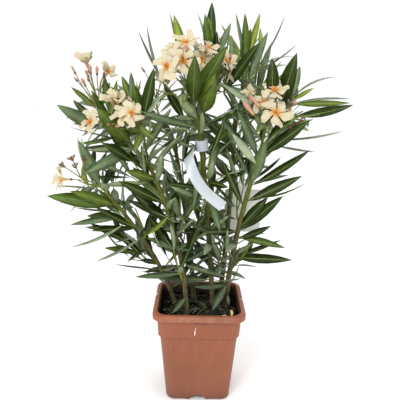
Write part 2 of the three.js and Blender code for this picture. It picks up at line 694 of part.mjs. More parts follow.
// One mass: what leaves the crown's reach, touches a limb, or meets another mass or leaf is left out
function makeMass(name, seed, main, spec, obstacles, taken) {
  const draw = seeded(seed);
  const others = obstacles.filter(({ line }) => line !== main);
  const free = (points, solid) =>
    points.every((point) => insideCrown(point) && clearOf(point, others)) && !meets(solid, taken);
  const parts = [solidOf(limbGeometry(main, TWIG_SIDES, TWIG_STEPS))];
  const own = [entry(parts[0])];
  const keep = (solid, blade = solid) => {
    parts.push(solid);
    own.push(entry(blade));
  };
  const twigs = [main];
  for (const twig of growForks(main, spec ? FORK_PLACES : SIDE_FORK_PLACES, draw)) {
    const solid = solidOf(limbGeometry(twig, TWIG_SIDES, FORK_STEPS));
    if (!free(FORK_TESTS.map((t) => twig.curve.getPoint(t)), solid)) continue;
    twigs.push(twig);
    keep(solid);
  }
  for (const head of spec ? growCyme(main, spec, draw) : []) {
    const top = head.flower ? flowerSolid(head) : budSolid(head);
    const stalk = head.flower ? solidOf(limbGeometry(head.stalk, TWIG_SIDES, 1)) : top;
    const crowded = head.flower && meets(top, own);
    if (crowded || !insideCrown(head.tip) || meets(top, taken) || meets(stalk, taken)) continue;
    keep(top);
    if (head.flower) parts.push(stalk);
  }
  for (const place of twigs.flatMap((twig) => leafPlaces(twig, draw))) {
    for (let attempt = 0; attempt < LEAF_ATTEMPTS; attempt++) {
      const leaf = growLeaf(place, attempt, draw);
      const solid = leafSolid(leaf, 0);
      const blade = leafSolid(leaf, LEAF_ROOT);
      if (!free(leafPoints(leaf, LEAF_ROOT, LEAF_TESTS), solid) || meets(blade, own)) continue;
      keep(solid, blade);
      break;
    }
  }
  addNode(name, fuse(parts), MATERIALS.foliage);
  taken.push(...parts.map(entry));
}

// A flat strip along a line, whose face turns from one bearing to another on the way
function ribbon(route, width, steps, facing) {
  const curve = new THREE.CatmullRomCurve3(route);
  const geometry = new THREE.BoxGeometry(1, 1, 1, 1, 1, steps);
  const position = geometry.attributes.position;
  for (let i = 0; i < position.count; i++) {
    const share = position.getZ(i) + 0.5;
    const tangent = curve.getTangent(share);
    const turned = Math.min(1, 2 * share);
    const face = across(tangent, facing[0].clone().lerp(facing[1], turned));
    const wide = new THREE.Vector3().crossVectors(face, tangent);
    const point = curve.getPoint(share).addScaledVector(wide, position.getX(i) * width);
    point.addScaledVector(face, position.getY(i) * LABEL_THICKNESS);
    position.setXYZ(i, point.x, point.y, point.z);
  }
  return solidOf(geometry);
}

// A closed loop that hangs on a limb: its inner face rests against the limb on the side away from out
function loopOn(limbLine, place, inner, height, out) {
  const { point, tangent, radius } = limbLine.at(place);
  const away = across(tangent, out);
  const flat = inner * Math.cos(Math.PI / LOOP_SIDES);
  const centre = point.clone().addScaledVector(away, flat - radius - GAP);
  const outer = inner + LABEL_THICKNESS;
  const corners = [[inner, -1], [outer, -1], [outer, 1], [inner, 1], [inner, -1]];
  const profile = corners.map(([reach, end]) => new THREE.Vector2(reach, (end * height) / 2));
  const ring = new THREE.LatheGeometry(profile, LOOP_SIDES);
  ring.applyQuaternion(new THREE.Quaternion().setFromUnitVectors(new THREE.Vector3(0, 1, 0), tangent));
  ring.translate(centre.x, centre.y, centre.z);
  return { solid: solidOf(ring), centre, middle: inner + LABEL_THICKNESS / 2 };
}

function makeStripLabel(line) {
  const loop = loopOn(line, STRIP_PLACE, STRIP_LOOP, STRIP_WIDTH, new THREE.Vector3(0, -1, 0));
  const start = loop.centre.clone().add(new THREE.Vector3(-loop.middle, JOIN_SHIFT, -JOIN_SHIFT));
  const route = [start, ...STRIP_ROUTE.map(vector)];
  return fuse([loop.solid, ribbon(route, STRIP_WIDTH, STRIP_STEPS, STRIP_FACING.map(vector))]);
}

function cardShape() {
  const [half, corner, tab] = [CARD_WIDTH / 2, CARD_CORNER, CARD_TAB];
  const shape = new THREE.Shape();
  shape.absarc(half - corner, corner - CARD_HEIGHT, corner, -Math.PI / 2, 0);
  shape.absarc(half - corner, -corner, corner, 0, Math.PI / 2);
  shape.lineTo(tab, 0);
  shape.absarc(0, tab, tab, 0, Math.PI);
  shape.lineTo(-tab, 0);
  shape.absarc(corner - half, -corner, corner, Math.PI / 2, Math.PI);
  shape.absarc(corner - half, corner - CARD_HEIGHT, corner, Math.PI, 1.5 * Math.PI);
  shape.holes.push(new THREE.Path().absarc(0, tab + CARD_HOLE_RISE, CARD_HOLE, 0, 2 * Math.PI, true));
  return shape;
}

function makeCard(line) {
  const depth = LABEL_THICKNESS;
  const options = { depth, bevelEnabled: false, curveSegments: CORNER_SEGMENTS };
  const plate = new THREE.ExtrudeGeometry(cardShape(), options);
  plate.translate(0, 0, -depth / 2);
  plate.rotateX(Math.PI / 2);
  plate.translate(...CARD_PLACE);
  const loop = loopOn(line, CARD_LOOP_PLACE, CARD_LOOP, CARD_STRAP, new THREE.Vector3(1, 0.4, 0));
  const start = loop.centre.clone().add(new THREE.Vector3(loop.middle, -JOIN_SHIFT, 0));
  const tab = vector(CARD_PLACE).add(new THREE.Vector3(-2 * JOIN_SHIFT, 0, CARD_TAB / 2));
  const bend = start.clone().lerp(tab, 0.5).add(vector(CARD_BEND));
  const facing = [new THREE.Vector3(1, 0, 0), new THREE.Vector3(1, -0.5, 0)];
  return fuse([loop.solid, solidOf(plate), ribbon([start, bend, tab], CARD_STRAP, CARD_STRAP_STEPS, facing)]);
}

const stems = growStems();
for (const [name, line] of stems) {
  addNode(name, solidOf(limbGeometry(line, STEM_SIDES, STEM_STEPS, FOOT_CROWDING)), MATERIALS.bark);
}
const boughRadius = (parent, count) => parent.radii[1] * (count > 2 ? CROWDED_BOUGH_SHARE : BOUGH_SHARE);
const boughs = growOnTips(BOUGHS, stems, boughRadius, BOUGH_TAPER);
for (const [name, line] of boughs) {
  addNode(name, solidOf(limbGeometry(line, STEM_SIDES, BOUGH_STEPS)), MATERIALS.bark);
}
const limbs = new Map([...stems, ...boughs]);
const shoots = growOnTips(SHOOTS, limbs, () => TWIG_RADIUS, TWIG_TIP_RADIUS / TWIG_RADIUS);
const sideShoots = growSideShoots(stems);
const masses = new Map([...shoots, ...sideShoots]);
const obstacles = [...limbs.values(), ...masses.values()].map(obstacleOf);

addNode("pot", makePot(), MATERIALS.pot);
addNode("compost", makeCompost(), MATERIALS.compost);
const labels = {
  strip_label: makeStripLabel(stems.get("stem_centre")),
  card_label: makeCard(stems.get("stem_rear_right")),
};
for (const [name, solid] of Object.entries(labels)) addNode(name, solid, MATERIALS.label);
const taken = Object.values(labels).map(entry);
[...masses].forEach(([name, main], i) => {
  makeMass(name, FIRST_SEED + i, main, SHOOTS[name], obstacles, taken);
});

export default plant;
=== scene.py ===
"""Potted oleander: the looks of its stems, shoots, leaves, blossom, pot, compost and blank labels.

The limbs and shoots grow by the same rule as the part's solids, written again here in metres, with +Z up
and +Y to the rear. The rule is carried on to whorls up the stems and boughs, and to finer leaves and petals.
"""

import functools
import itertools
import json
import math

import bpy
import numpy as np
from mathutils import Matrix, Vector, noise

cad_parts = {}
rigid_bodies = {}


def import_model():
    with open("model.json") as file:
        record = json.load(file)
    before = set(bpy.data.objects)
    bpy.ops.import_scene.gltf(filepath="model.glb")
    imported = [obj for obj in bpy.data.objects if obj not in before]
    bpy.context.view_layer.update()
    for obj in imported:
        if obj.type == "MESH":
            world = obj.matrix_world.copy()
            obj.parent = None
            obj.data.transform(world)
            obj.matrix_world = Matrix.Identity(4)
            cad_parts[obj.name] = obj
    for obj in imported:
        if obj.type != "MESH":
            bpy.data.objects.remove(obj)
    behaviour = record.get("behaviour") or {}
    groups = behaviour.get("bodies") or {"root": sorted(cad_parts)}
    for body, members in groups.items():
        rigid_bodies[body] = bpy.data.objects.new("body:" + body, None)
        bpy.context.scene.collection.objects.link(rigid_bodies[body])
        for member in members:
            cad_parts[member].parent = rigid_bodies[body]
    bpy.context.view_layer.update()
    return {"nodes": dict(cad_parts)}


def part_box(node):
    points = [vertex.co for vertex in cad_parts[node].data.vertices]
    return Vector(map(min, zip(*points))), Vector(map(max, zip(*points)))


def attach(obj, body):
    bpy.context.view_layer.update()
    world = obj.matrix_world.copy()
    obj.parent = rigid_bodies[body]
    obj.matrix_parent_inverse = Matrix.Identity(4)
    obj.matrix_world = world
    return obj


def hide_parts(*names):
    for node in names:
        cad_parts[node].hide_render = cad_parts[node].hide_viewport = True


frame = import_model()

bl_info = {
    "name": "Potted Oleander",
    "version": (1, 0, 0),
    "blender": (4, 5, 0),
    "location": "View3D > Sidebar > Oleander",
    "description": "Models and finishes a potted oleander round its frame",
    "category": "Object",
}

LIMB_NODES = [name for name in frame["nodes"] if name.startswith(("stem", "bough"))]
FOLIAGE_NODES = [name for name in frame["nodes"] if name.startswith("foliage")]

# Camera: the photograph's viewing angle, worked out from the pot and the stems
CAMERA_PLACE = (-0.0145, -1.0304, 0.6777)
CAMERA_YAW = 0.681
CAMERA_PITCH = 12.818
CAMERA_ROLL = 1.153
CAMERA_LENS = 43.59
SENSOR_WIDTH = 36.0
PICTURE_WIDTH = 400

# Pot: full widths across the flats and heights above the ground, up the outside and down the inside
RIM_WIDTH = 0.200
RIM_TOP = 0.215
RIM_FOOT = 0.201
RIM_ROUND = 0.003
RIM_FLANGE = 0.010
COLLAR_WIDTH = 0.182
COLLAR_FOOT_WIDTH = 0.177
COLLAR_FOOT = 0.158
BODY_WIDTH = 0.169
BASE_WIDTH = 0.142
BASE_CHAMFER = 0.005
WALL = 0.002
CORNER_SHARE = 0.27
CORNER_SEGMENTS = 8
CHANNEL_WIDTH = 0.024
CHANNEL_HEIGHT = 0.0115
CHANNEL_FLARE = 0.010
CHANNEL_INNER_END = 0.022
CHANNEL_ROUND = 0.0015
CHANNEL_SUNK = 0.004
DRAIN_RADIUS = 0.005
DRAIN_PLACE = 0.048
SOIL_TOP = 0.190

# Stems: foot on the compost, tip, how far the bend follows the tip sideways and upwards, and two radii
STEMS = {
    "stem_left": ((-0.056, 0.020), (-0.197, -0.050, 0.468), 0.2, 0.43, (0.0052, 0.0042)),
    "stem_centre_left": ((-0.027, -0.035), (-0.106, -0.035, 0.515), 0.1, 0.55, (0.0052, 0.0045)),
    "stem_centre": ((0.032, 0.005), (-0.004, -0.034, 0.590), 0.3, 0.4, (0.006, 0.005)),
    "stem_right": ((0.061, 0.010), (0.120, -0.045, 0.560), 0.15, 0.45, (0.0062, 0.0048)),
    "stem_rear_right": ((0.050, 0.054), (0.075, 0.078, 0.600), 0.8, 0.45, (0.006, 0.0048)),
    "stem_rear_left": ((-0.012, 0.050), (-0.062, 0.120, 0.540), 0.2, 0.45, (0.006, 0.0046)),
}
FLARE = 0.15
FLARE_FADE = 0.010
GAP = 0.0003

# Boughs: each grows on from a stem's tip
BOUGHS = {
    "bough_left_upper": ("stem_centre_left", (-0.192, 0.020, 0.594)),
    "bough_left_inner": ("stem_centre_left", (-0.119, -0.045, 0.590)),
    "bough_top_front": ("stem_centre", (-0.026, -0.054, 0.664)),
    "bough_top": ("stem_centre", (0.008, -0.020, 0.676)),
    "bough_top_left": ("stem_centre", (-0.046, -0.004, 0.654)),
    "bough_right_front": ("stem_right", (0.124, -0.062, 0.606)),
    "bough_right_outer": ("stem_right", (0.160, -0.042, 0.614)),
    "bough_rear_right_top": ("stem_rear_right", (0.096, 0.098, 0.690)),
    "bough_rear_right_inner": ("stem_rear_right", (0.047, 0.030, 0.668)),
    "bough_rear_right_low": ("stem_rear_right", (0.108, 0.150, 0.640)),
    "bough_rear_left_top": ("stem_rear_left", (-0.104, 0.168, 0.612)),
    "bough_rear_left_inner": ("stem_rear_left", (-0.022, 0.150, 0.622)),
}
BOUGH_SHARE = 0.62
CROWDED_BOUGH_SHARE = 0.56
BOUGH_TAPER = 0.8
APART_ON_TIP = 1.12
STRAIGHT_START = 0.4

# Leafy shoots on the tips of the stems and boughs: tip of the shoot's own stem, open flowers and buds
SHOOTS = {
    "foliage_left_low_bloom": ("stem_left", (-0.243, -0.070, 0.500), 1, 7),
    "foliage_left_low": ("stem_left", (-0.240, -0.018, 0.478), 0, 0),
    "foliage_left_top_bloom": ("bough_left_upper", (-0.234, 0.055, 0.664), 3, 9),
    "foliage_left_outer": ("bough_left_upper", (-0.250, -0.006, 0.616), 0, 0),
    "foliage_left_front_bloom": ("bough_left_upper", (-0.212, -0.040, 0.596), 2, 1),
    "foliage_left_inner_bloom": ("bough_left_inner", (-0.142, -0.080, 0.612), 4, 1),
    "foliage_left_inner_top": ("bough_left_inner", (-0.137, -0.022, 0.636), 0, 0),
    "foliage_top_bloom": ("bough_top_front", (-0.032, -0.068, 0.708), 7, 3),
    "foliage_top": ("bough_top", (0.012, 0.004, 0.758), 0, 0),
    "foliage_top_left": ("bough_top_left", (-0.084, -0.004, 0.690), 0, 0),
    "foliage_right_bloom": ("bough_right_front", (0.126, -0.078, 0.632), 5, 5),
    "foliage_right_top": ("bough_right_outer", (0.158, -0.008, 0.664), 0, 0),
    "foliage_right_outer": ("bough_right_outer", (0.196, -0.060, 0.640), 0, 2),
    "foliage_rear_right_top": ("bough_rear_right_top", (0.092, 0.108, 0.740), 0, 0),
    "foliage_rear_right_outer": ("bough_rear_right_top", (0.136, 0.092, 0.734), 0, 0),
    "foliage_centre_bloom": ("bough_rear_right_inner", (0.050, 0.018, 0.698), 2, 2),
    "foliage_rear_right_low": ("bough_rear_right_low", (0.138, 0.190, 0.676), 0, 0),
    "foliage_rear_left_bloom": ("bough_rear_left_top", (-0.112, 0.196, 0.676), 2, 3),
    "foliage_rear_left_outer": ("bough_rear_left_top", (-0.156, 0.150, 0.636), 0, 0),
    "foliage_rear_centre": ("bough_rear_left_inner", (-0.012, 0.184, 0.694), 0, 0),
}

# Leafy side shoots up each stem: how many, where the first and last stand, and the first bearing
SIDE_SHOOTS = {
    "stem_left": (3, 0.42, 0.86, 200),
    "stem_centre_left": (3, 0.24, 0.84, 250),
    "stem_centre": (3, 0.24, 0.74, 20),
    "stem_right": (3, 0.3, 0.88, 350),
    "stem_rear_right": (2, 0.3, 0.8, 150),
    "stem_rear_left": (2, 0.36, 0.7, 150),
}
GOLDEN_TURN = 137.5
SIDE_OUT = 0.028
SIDE_UP = 0.078
SIDE_ELBOW = 0.010
TWIG_RADIUS = 0.0023
TWIG_TIP_RADIUS = 0.0013
FORK_PLACES = (0.34, 0.62)
SIDE_FORK_PLACES = (0.45,)
FORK_ANGLE = 42
FORK_LENGTH = 0.046
FORK_LIFT = 0.008
FORK_RADIUS_SHARE = 0.85
FORK_TURNS = (-25, 25)
FORK_LEANS = (-8, 8)
LENGTH_STEPS = 40
LIMB_STEPS = 60

# Leaves: three to a whorl, each whorl turned by half a step, steeper and shorter towards the twig's end
FIRST_SEED = 11
LEAVES_IN_WHORL = 3
WHORL_START = 0.010
WHORL_END = 0.003
LEAF_STAGGER = 0.0009
LEAF_BASE_ANGLE = 66
LEAF_TIP_ANGLE = 22
LEAF_ATTEMPTS = 9
ATTEMPT_SHRINK = 0.97
LEAF_ASIDE = 14
ATTEMPT_ASIDE = 9
LEAF_LEANS = (-8, 9)
LEAF_LENGTHS = (0.86, 1.08)
LEAF_WIDTHS = (0.86, 1.14)
LEAF_ARCHES = (-0.45, 0.65)
LEAF_FOLDS = (0.12, 0.5)
LEAF_TWISTS = (-0.5, 0.5)
STEM_WHORL_STEP = 0.031
BOUGH_WHORL_STEP = 0.025
BOUGH_WHORL_START = 0.014
STEM_WHORL_START = 0.05
BOUGH_LEAF_ANGLES = (64, 44)
STEM_LEAF_ANGLES = (78, 56)
OLD_LEAF_LENGTH = 1.04
OLD_LEAVES_KEPT = 0.9
SIDE_STEP = 1.25
TIP_LEAF_LENGTH = 0.86
PETIOLE_TURN = 75
LEAF_THICKNESS = 0.0005
LEAF_GAP = 0.0048
LEAF_STATIONS = (0.0, 0.06, 0.16, 0.30, 0.46, 0.61, 0.76, 0.90, 1.0)
LEAF_PROFILE = (0.10, 0.11, 0.45, 0.82, 1.0, 0.95, 0.73, 0.37, 0.03)
RIB_HALF_WIDTHS = (0.0007, 0.0002)

# Marks along a leaf that have to find room, and how far to each side they reach
MARK_STEPS = 8
MARK_REACH = 0.35

# Young leaves: from where on they may stand, how often they do, and the tuft at the very tip
YOUNG_FROM = 0.8
YOUNG_SHARE = 0.5
SPRAY_SHARE = 0.6
TUFT_LEAVES = 4
TUFT_PLACE = 0.99
TUFT_ANGLE = 12
TUFT_LENGTHS = (0.45, 0.75)
TUFT_ARCHES = (-0.1, 0.2)

# Room that each thing keeps free of the leaves that come after it
ROOM_CELL = 0.014
LIMB_ROOM = 0.0015
STRIP_ROOM = 0.014
FLOWER_ROOM = 0.011
FLOWER_FRONT = 0.02
FLOWER_DISC = 0.018
FLOWER_DISC_LIFT = 0.006
DISC_SPOTS = 6
PLACED_BUD_ROOM = 0.009
BUD_ROOM = 0.008

# Reach of the crown, and the room it leaves over the pot
CROWN_SIDE = 0.312
CROWN_FRONT = 0.250
CROWN_TOP = 0.858
RIM_MARGIN = 0.004
MOUTH_MARGIN = 0.006

# The leaves that stand out in the photograph: where each starts and ends in the picture, in pixels, then its
# length and width, whether it leans to the front (-1) or the rear (1), how far it is rolled from facing the
# camera and how far it arches away from its face, in degrees, and its tint
PICTURE_LEAVES = (
    # Top, from the left
    ((163, 80), (147, 25), 0.125, 0.014, 1, 62, -25, "blue"),
    ((165, 84), (138, 30), 0.132, 0.013, 1, 64, -15, "dark"),
    ((186, 74), (170, 13), 0.135, 0.015, 1, 60, -12, "blue"),
    ((187, 75), (174, 15), 0.130, 0.021, 1, 15, 8, "young"),
    ((206, 58), (197, 12), 0.105, 0.016, 1, 62, 10, "blue"),
    ((208, 60), (205, 14), 0.108, 0.019, -1, 25, -10, "green"),
    ((206, 52), (208, 17), 0.090, 0.015, -1, 20, 10, "young"),
    ((209, 60), (212, 2), 0.126, 0.023, 1, 15, 10, "dark"),
    ((215, 62), (217, 31), 0.085, 0.016, -1, 35, 5, "dark"),
    ((214, 60), (231, 23), 0.110, 0.018, 1, 30, 10, "blue"),
    ((246, 62), (236, 13), 0.120, 0.015, 1, 55, -10, "blue"),
    ((245, 66), (245, 13), 0.125, 0.018, -1, 25, 10, "green"),
    ((244, 62), (251, 28), 0.085, 0.016, -1, 20, 0, "olive"),
    ((247, 63), (260, 13), 0.125, 0.018, 1, 25, -15, "young"),
    ((248, 86), (268, 32), 0.135, 0.022, 1, 20, 8, "blue"),
    ((229, 92), (260, 42), 0.135, 0.023, -1, 20, 8, "dark"),
    ((262, 62), (285, 15), 0.125, 0.014, 1, 71, -20, "dark"),
    ((257, 72), (297, 44), 0.125, 0.014, 1, 71, -25, "dark"),
    ((252, 70), (296, 57), 0.120, 0.014, 1, 70, 45, "blue"),
    ((253, 75), (290, 65), 0.100, 0.015, 1, 60, 30, "blue"),
    ((240, 88), (246, 34), 0.130, 0.024, 1, 12, 10, "green"),
    ((252, 92), (272, 42), 0.128, 0.022, 1, 30, 10, "pale"),
    ((246, 84), (240, 40), 0.110, 0.020, 1, 40, 5, "blue"),
    # In front of the middle blossom, and on both sides of it; the deep tint is the olive tint darkened as
    # painted shade
    ((194, 104), (195, 55), 0.128, 0.029, -1, 5, 12, "deep"),
    ((194, 104), (227, 46), 0.140, 0.032, -1, 10, 10, "deep"),
    ((204, 114), (215, 74), 0.110, 0.035, -1, 5, 12, "olive"),
    ((145, 122), (154, 68), 0.130, 0.023, -1, 15, -10, "dark"),
    ((185, 121), (163, 82), 0.110, 0.022, -1, 15, -15, "dark"),
    ((198, 128), (140, 111), 0.135, 0.017, -1, 40, -8, "blue"),
    ((258, 159), (238, 111), 0.125, 0.019, -1, 25, 5, "blue"),
    ((248, 180), (231, 141), 0.095, 0.012, -1, 50, 0, "blue"),
    ((241, 208), (222, 160), 0.115, 0.018, -1, 30, -5, "dark"),
    # Right, from the top
    ((276, 98), (272, 58), 0.100, 0.025, -1, 8, 8, "dark"),
    ((281, 108), (297, 53), 0.135, 0.032, -1, 8, 12, "dark"),
    ((290, 104), (300, 66), 0.100, 0.018, 1, 25, 15, "blue"),
    ((296, 98), (336, 77), 0.100, 0.012, 1, 71, 40, "blue"),
    ((297, 101), (314, 88), 0.050, 0.010, -1, 30, 0, "young"),
    ((292, 103), (351, 99), 0.125, 0.012, 1, 71, 10, "blue"),
    ((292, 104), (350, 103), 0.120, 0.014, -1, 20, -5, "olive"),
    ((293, 115), (353, 105), 0.128, 0.021, 1, 25, -35, "dark"),
    ((262, 156), (310, 120), 0.135, 0.023, -1, 20, -10, "dark"),
    ((272, 142), (343, 131), 0.150, 0.013, 1, 75, -25, "blue"),
    ((266, 143), (315, 152), 0.110, 0.012, 1, 71, -15, "blue"),
    ((252, 186), (267, 140), 0.115, 0.027, -1, 10, 8, "blue"),
    ((252, 188), (310, 150), 0.146, 0.019, -1, 25, -30, "dark"),
    ((251, 182), (281, 157), 0.095, 0.014, 1, 60, -20, "dark"),
    ((252, 184), (289, 175), 0.086, 0.014, 1, 45, 8, "blue"),
    ((249, 203), (302, 176), 0.128, 0.024, -1, 15, -12, "dark"),
    ((240, 233), (283, 196), 0.130, 0.025, -1, 15, -10, "dark"),
    ((241, 230), (268, 197), 0.100, 0.023, -1, 20, -5, "dark"),
    ((250, 197), (307, 182), 0.135, 0.013, -1, 75, -45, "olive"),
    ((237, 240), (271, 226), 0.090, 0.019, -1, 40, -25, "dark"),
    ((240, 238), (285, 248), 0.110, 0.018, -1, 30, 10, "green"),
    ((235, 257), (281, 240), 0.116, 0.015, 1, 50, -15, "dark"),
    ((234, 257), (292, 260), 0.133, 0.023, -1, 15, -8, "dark"),
    ((234, 264), (257, 267), 0.070, 0.012, 1, 78, 5, "blue"),
    ((230, 272), (239, 250), 0.060, 0.016, -1, 30, 0, "blue"),
    # Left, from the top
    ((139, 108), (141, 79), 0.070, 0.011, 1, 70, 0, "blue"),
    ((139, 116), (133, 83), 0.080, 0.022, -1, 15, 5, "green"),
    ((128, 104), (131, 72), 0.075, 0.014, 1, 35, 0, "blue"),
    ((131, 103), (122, 76), 0.070, 0.015, 1, 20, 5, "olive"),
    ((111, 122), (117, 80), 0.095, 0.015, 1, 20, 0, "green"),
    ((106, 112), (104, 75), 0.085, 0.017, 1, 20, 8, "green"),
    ((112, 127), (91, 90), 0.110, 0.017, -1, 20, 5, "green"),
    ((96, 112), (71, 87), 0.080, 0.014, 1, 30, 0, "olive"),
    ((92, 122), (73, 100), 0.075, 0.016, 1, 25, 0, "dark"),
    ((95, 128), (57, 105), 0.105, 0.024, -1, 12, -8, "blue"),
    ((129, 147), (96, 108), 0.127, 0.034, -1, 2, 14, "olive"),
    ((126, 143), (70, 127), 0.130, 0.012, 1, 71, -10, "dark"),
    ((133, 162), (102, 143), 0.090, 0.023, -1, 20, 5, "dark"),
    ((103, 185), (79, 141), 0.120, 0.023, -1, 8, -10, "blue"),
    ((130, 152), (82, 175), 0.132, 0.024, -1, 12, 10, "blue"),
    ((131, 176), (88, 177), 0.095, 0.014, -1, 60, -10, "dark"),
    ((155, 180), (126, 171), 0.075, 0.023, -1, 12, 10, "olive"),
    ((106, 190), (52, 186), 0.110, 0.013, 1, 70, 10, "blue"),
    ((163, 205), (118, 181), 0.122, 0.022, -1, 25, 0, "dark"),
    ((113, 188), (116, 205), 0.045, 0.018, -1, 10, 10, "pale"),
    ((116, 205), (47, 196), 0.150, 0.031, -1, 8, -8, "green"),
    ((118, 206), (70, 191), 0.112, 0.023, -1, 12, 5, "olive"),
    ((123, 217), (87, 216), 0.088, 0.021, 1, 20, 5, "olive"),
    ((122, 219), (70, 225), 0.118, 0.017, 1, 35, 12, "blue"),
    ((140, 229), (95, 207), 0.110, 0.019, -1, 35, -10, "dark"),
    ((134, 229), (91, 231), 0.095, 0.017, -1, 35, 5, "dark"),
    ((170, 216), (145, 236), 0.072, 0.015, -1, 40, -30, "young"),
    ((126, 222), (71, 247), 0.133, 0.014, -1, 63, -40, "pale"),
    ((142, 238), (95, 262), 0.120, 0.014, -1, 63, -20, "pale"),
    ((140, 252), (104, 248), 0.088, 0.017, -1, 25, -5, "olive"),
    ((150, 247), (127, 262), 0.065, 0.011, -1, 40, 10, "dark"),
    ((162, 268), (114, 264), 0.108, 0.013, -1, 71, -15, "dark"),
    ((160, 262), (140, 260), 0.050, 0.013, -1, 30, 0, "dark"),
    ((185, 272), (135, 277), 0.110, 0.017, -1, 30, -10, "blue"),
    ((160, 205), (133, 167), 0.110, 0.024, 1, 12, 5, "blue"),
    ((172, 226), (130, 190), 0.128, 0.023, 1, 15, 5, "dark"),
    ((170, 219), (128, 200), 0.110, 0.018, 1, 20, 0, "dark"),
    ((176, 248), (148, 215), 0.105, 0.020, 1, 20, 0, "dark"),
    # Over the pot, from the left
    ((183, 297), (173, 313), 0.050, 0.014, -1, 20, 10, "blue"),
    ((208, 280), (160, 279), 0.118, 0.021, -1, 25, 5, "blue"),
    ((228, 285), (194, 287), 0.080, 0.018, -1, 30, -10, "blue"),
    ((224, 282), (212, 311), 0.075, 0.019, -1, 25, 15, "blue"),
    ((225, 293), (229, 305), 0.030, 0.011, -1, 30, 5, "blue"),
)
COVER_DEPTH = 0.004
COVER_STEPS = 14
LOWEST_FOOT = 0.08
LEAF_COVER = 3.6
FLOWER_COVER = 6.0
LABEL_COVER = 5.0
DEPTH_COST = 0.06

# The crown's outline in the picture, in pixels, which the other leaves keep to, and the gaps where sky shows
PICTURE_OUTLINE = (
    (196, 24), (206, 14), (216, 20), (234, 26), (246, 22), (262, 22), (270, 44), (276, 60), (298, 58),
    (302, 96), (322, 108), (312, 124), (304, 150), (304, 180), (278, 200), (264, 212), (272, 228),
    (284, 242), (288, 262), (252, 270), (242, 290), (158, 290), (140, 276), (136, 258), (100, 250),
    (84, 232), (70, 222), (56, 200), (84, 184), (78, 150), (76, 134), (60, 110), (72, 96), (92, 90),
    (104, 80), (132, 76), (143, 86), (148, 108), (152, 76), (160, 84), (176, 72), (184, 44),
)
PICTURE_GAPS = (
    (148, 88, 5), (160, 112, 5), (222, 104, 8), (218, 112, 5), (164, 142, 3), (177, 151, 6), (168, 165, 4),
    (184, 178, 5), (143, 209, 5), (186, 236, 4), (221, 158, 3), (258, 172, 3), (157, 251, 4), (168, 256, 4),
    (150, 236, 3), (146, 264, 4), (288, 172, 6), (290, 136, 4), (264, 218, 3), (176, 88, 3), (236, 150, 3),
    (284, 232, 5), (262, 250, 4), (206, 240, 3), (196, 262, 3), (192, 216, 3), (104, 196, 2), (92, 184, 3),
)

# Open flowers that show: place of the throat, the way it faces, size, and how wide it has opened
FLOWERS = {
    "foliage_top_bloom": [
        ((-0.071, -0.096, 0.719), (-0.45, -0.85, 0.05), 1.08, 0.85),
        ((-0.040, -0.100, 0.730), (0.05, -0.95, 0.25), 1.05, 1.0),
        ((-0.037, -0.074, 0.764), (-0.15, -0.65, 0.75), 1.0, 0.8),
        ((0.006, -0.056, 0.758), (0.15, -0.5, 0.85), 1.0, 0.9),
        ((-0.005, -0.066, 0.734), (0.5, -0.75, 0.1), 0.95, 0.8),
        ((-0.060, -0.056, 0.752), (-0.35, -0.55, 0.75), 0.9, 0.7),
    ],
    "foliage_centre_bloom": [
        ((0.047, 0.000, 0.736), (0.5, -0.6, 0.55), 1.0, 0.75),
        ((0.060, 0.006, 0.716), (0.75, -0.5, -0.2), 0.95, 0.6),
    ],
    "foliage_right_bloom": [
        ((0.134, -0.088, 0.680), (-0.1, -0.75, 0.6), 1.0, 0.85),
        ((0.136, -0.110, 0.639), (0.15, -0.8, 0.5), 1.08, 1.0),
        ((0.113, -0.089, 0.656), (-0.35, -0.75, 0.55), 0.85, 0.75),
        ((0.090, -0.072, 0.666), (-0.25, -0.35, 0.9), 0.95, 0.15),
    ],
    "foliage_left_top_bloom": [
        ((-0.251, 0.050, 0.729), (-0.12, -0.5, 0.86), 1.1, 0.2),
        ((-0.205, 0.044, 0.711), (0.6, -0.6, 0.5), 0.9, 0.5),
    ],
    "foliage_left_inner_bloom": [
        ((-0.155, -0.092, 0.628), (-0.55, -0.75, 0.35), 0.95, 0.7),
        ((-0.136, -0.100, 0.632), (0.15, -0.9, 0.4), 0.95, 0.95),
        ((-0.168, -0.070, 0.655), (-0.15, -0.45, 0.9), 1.0, 0.45),
        ((-0.150, -0.070, 0.648), (0.4, -0.1, 0.9), 0.9, 0.55),
    ],
    "foliage_left_front_bloom": [
        ((-0.178, -0.070, 0.654), (-0.3, -0.5, 0.8), 0.9, 0.4),
        ((-0.222, -0.070, 0.612), (-0.5, -0.8, 0.3), 0.95, 0.8),
    ],
    "foliage_left_low_bloom": [
        ((-0.275, -0.090, 0.501), (-0.82, -0.55, 0.12), 1.0, 0.55),
    ],
    "foliage_rear_left_bloom": [
        ((-0.092, 0.216, 0.710), (-0.1, 0.75, 0.65), 1.0, 0.9),
        ((-0.070, 0.202, 0.720), (0.4, 0.3, 0.86), 0.95, 0.75),
    ],
}

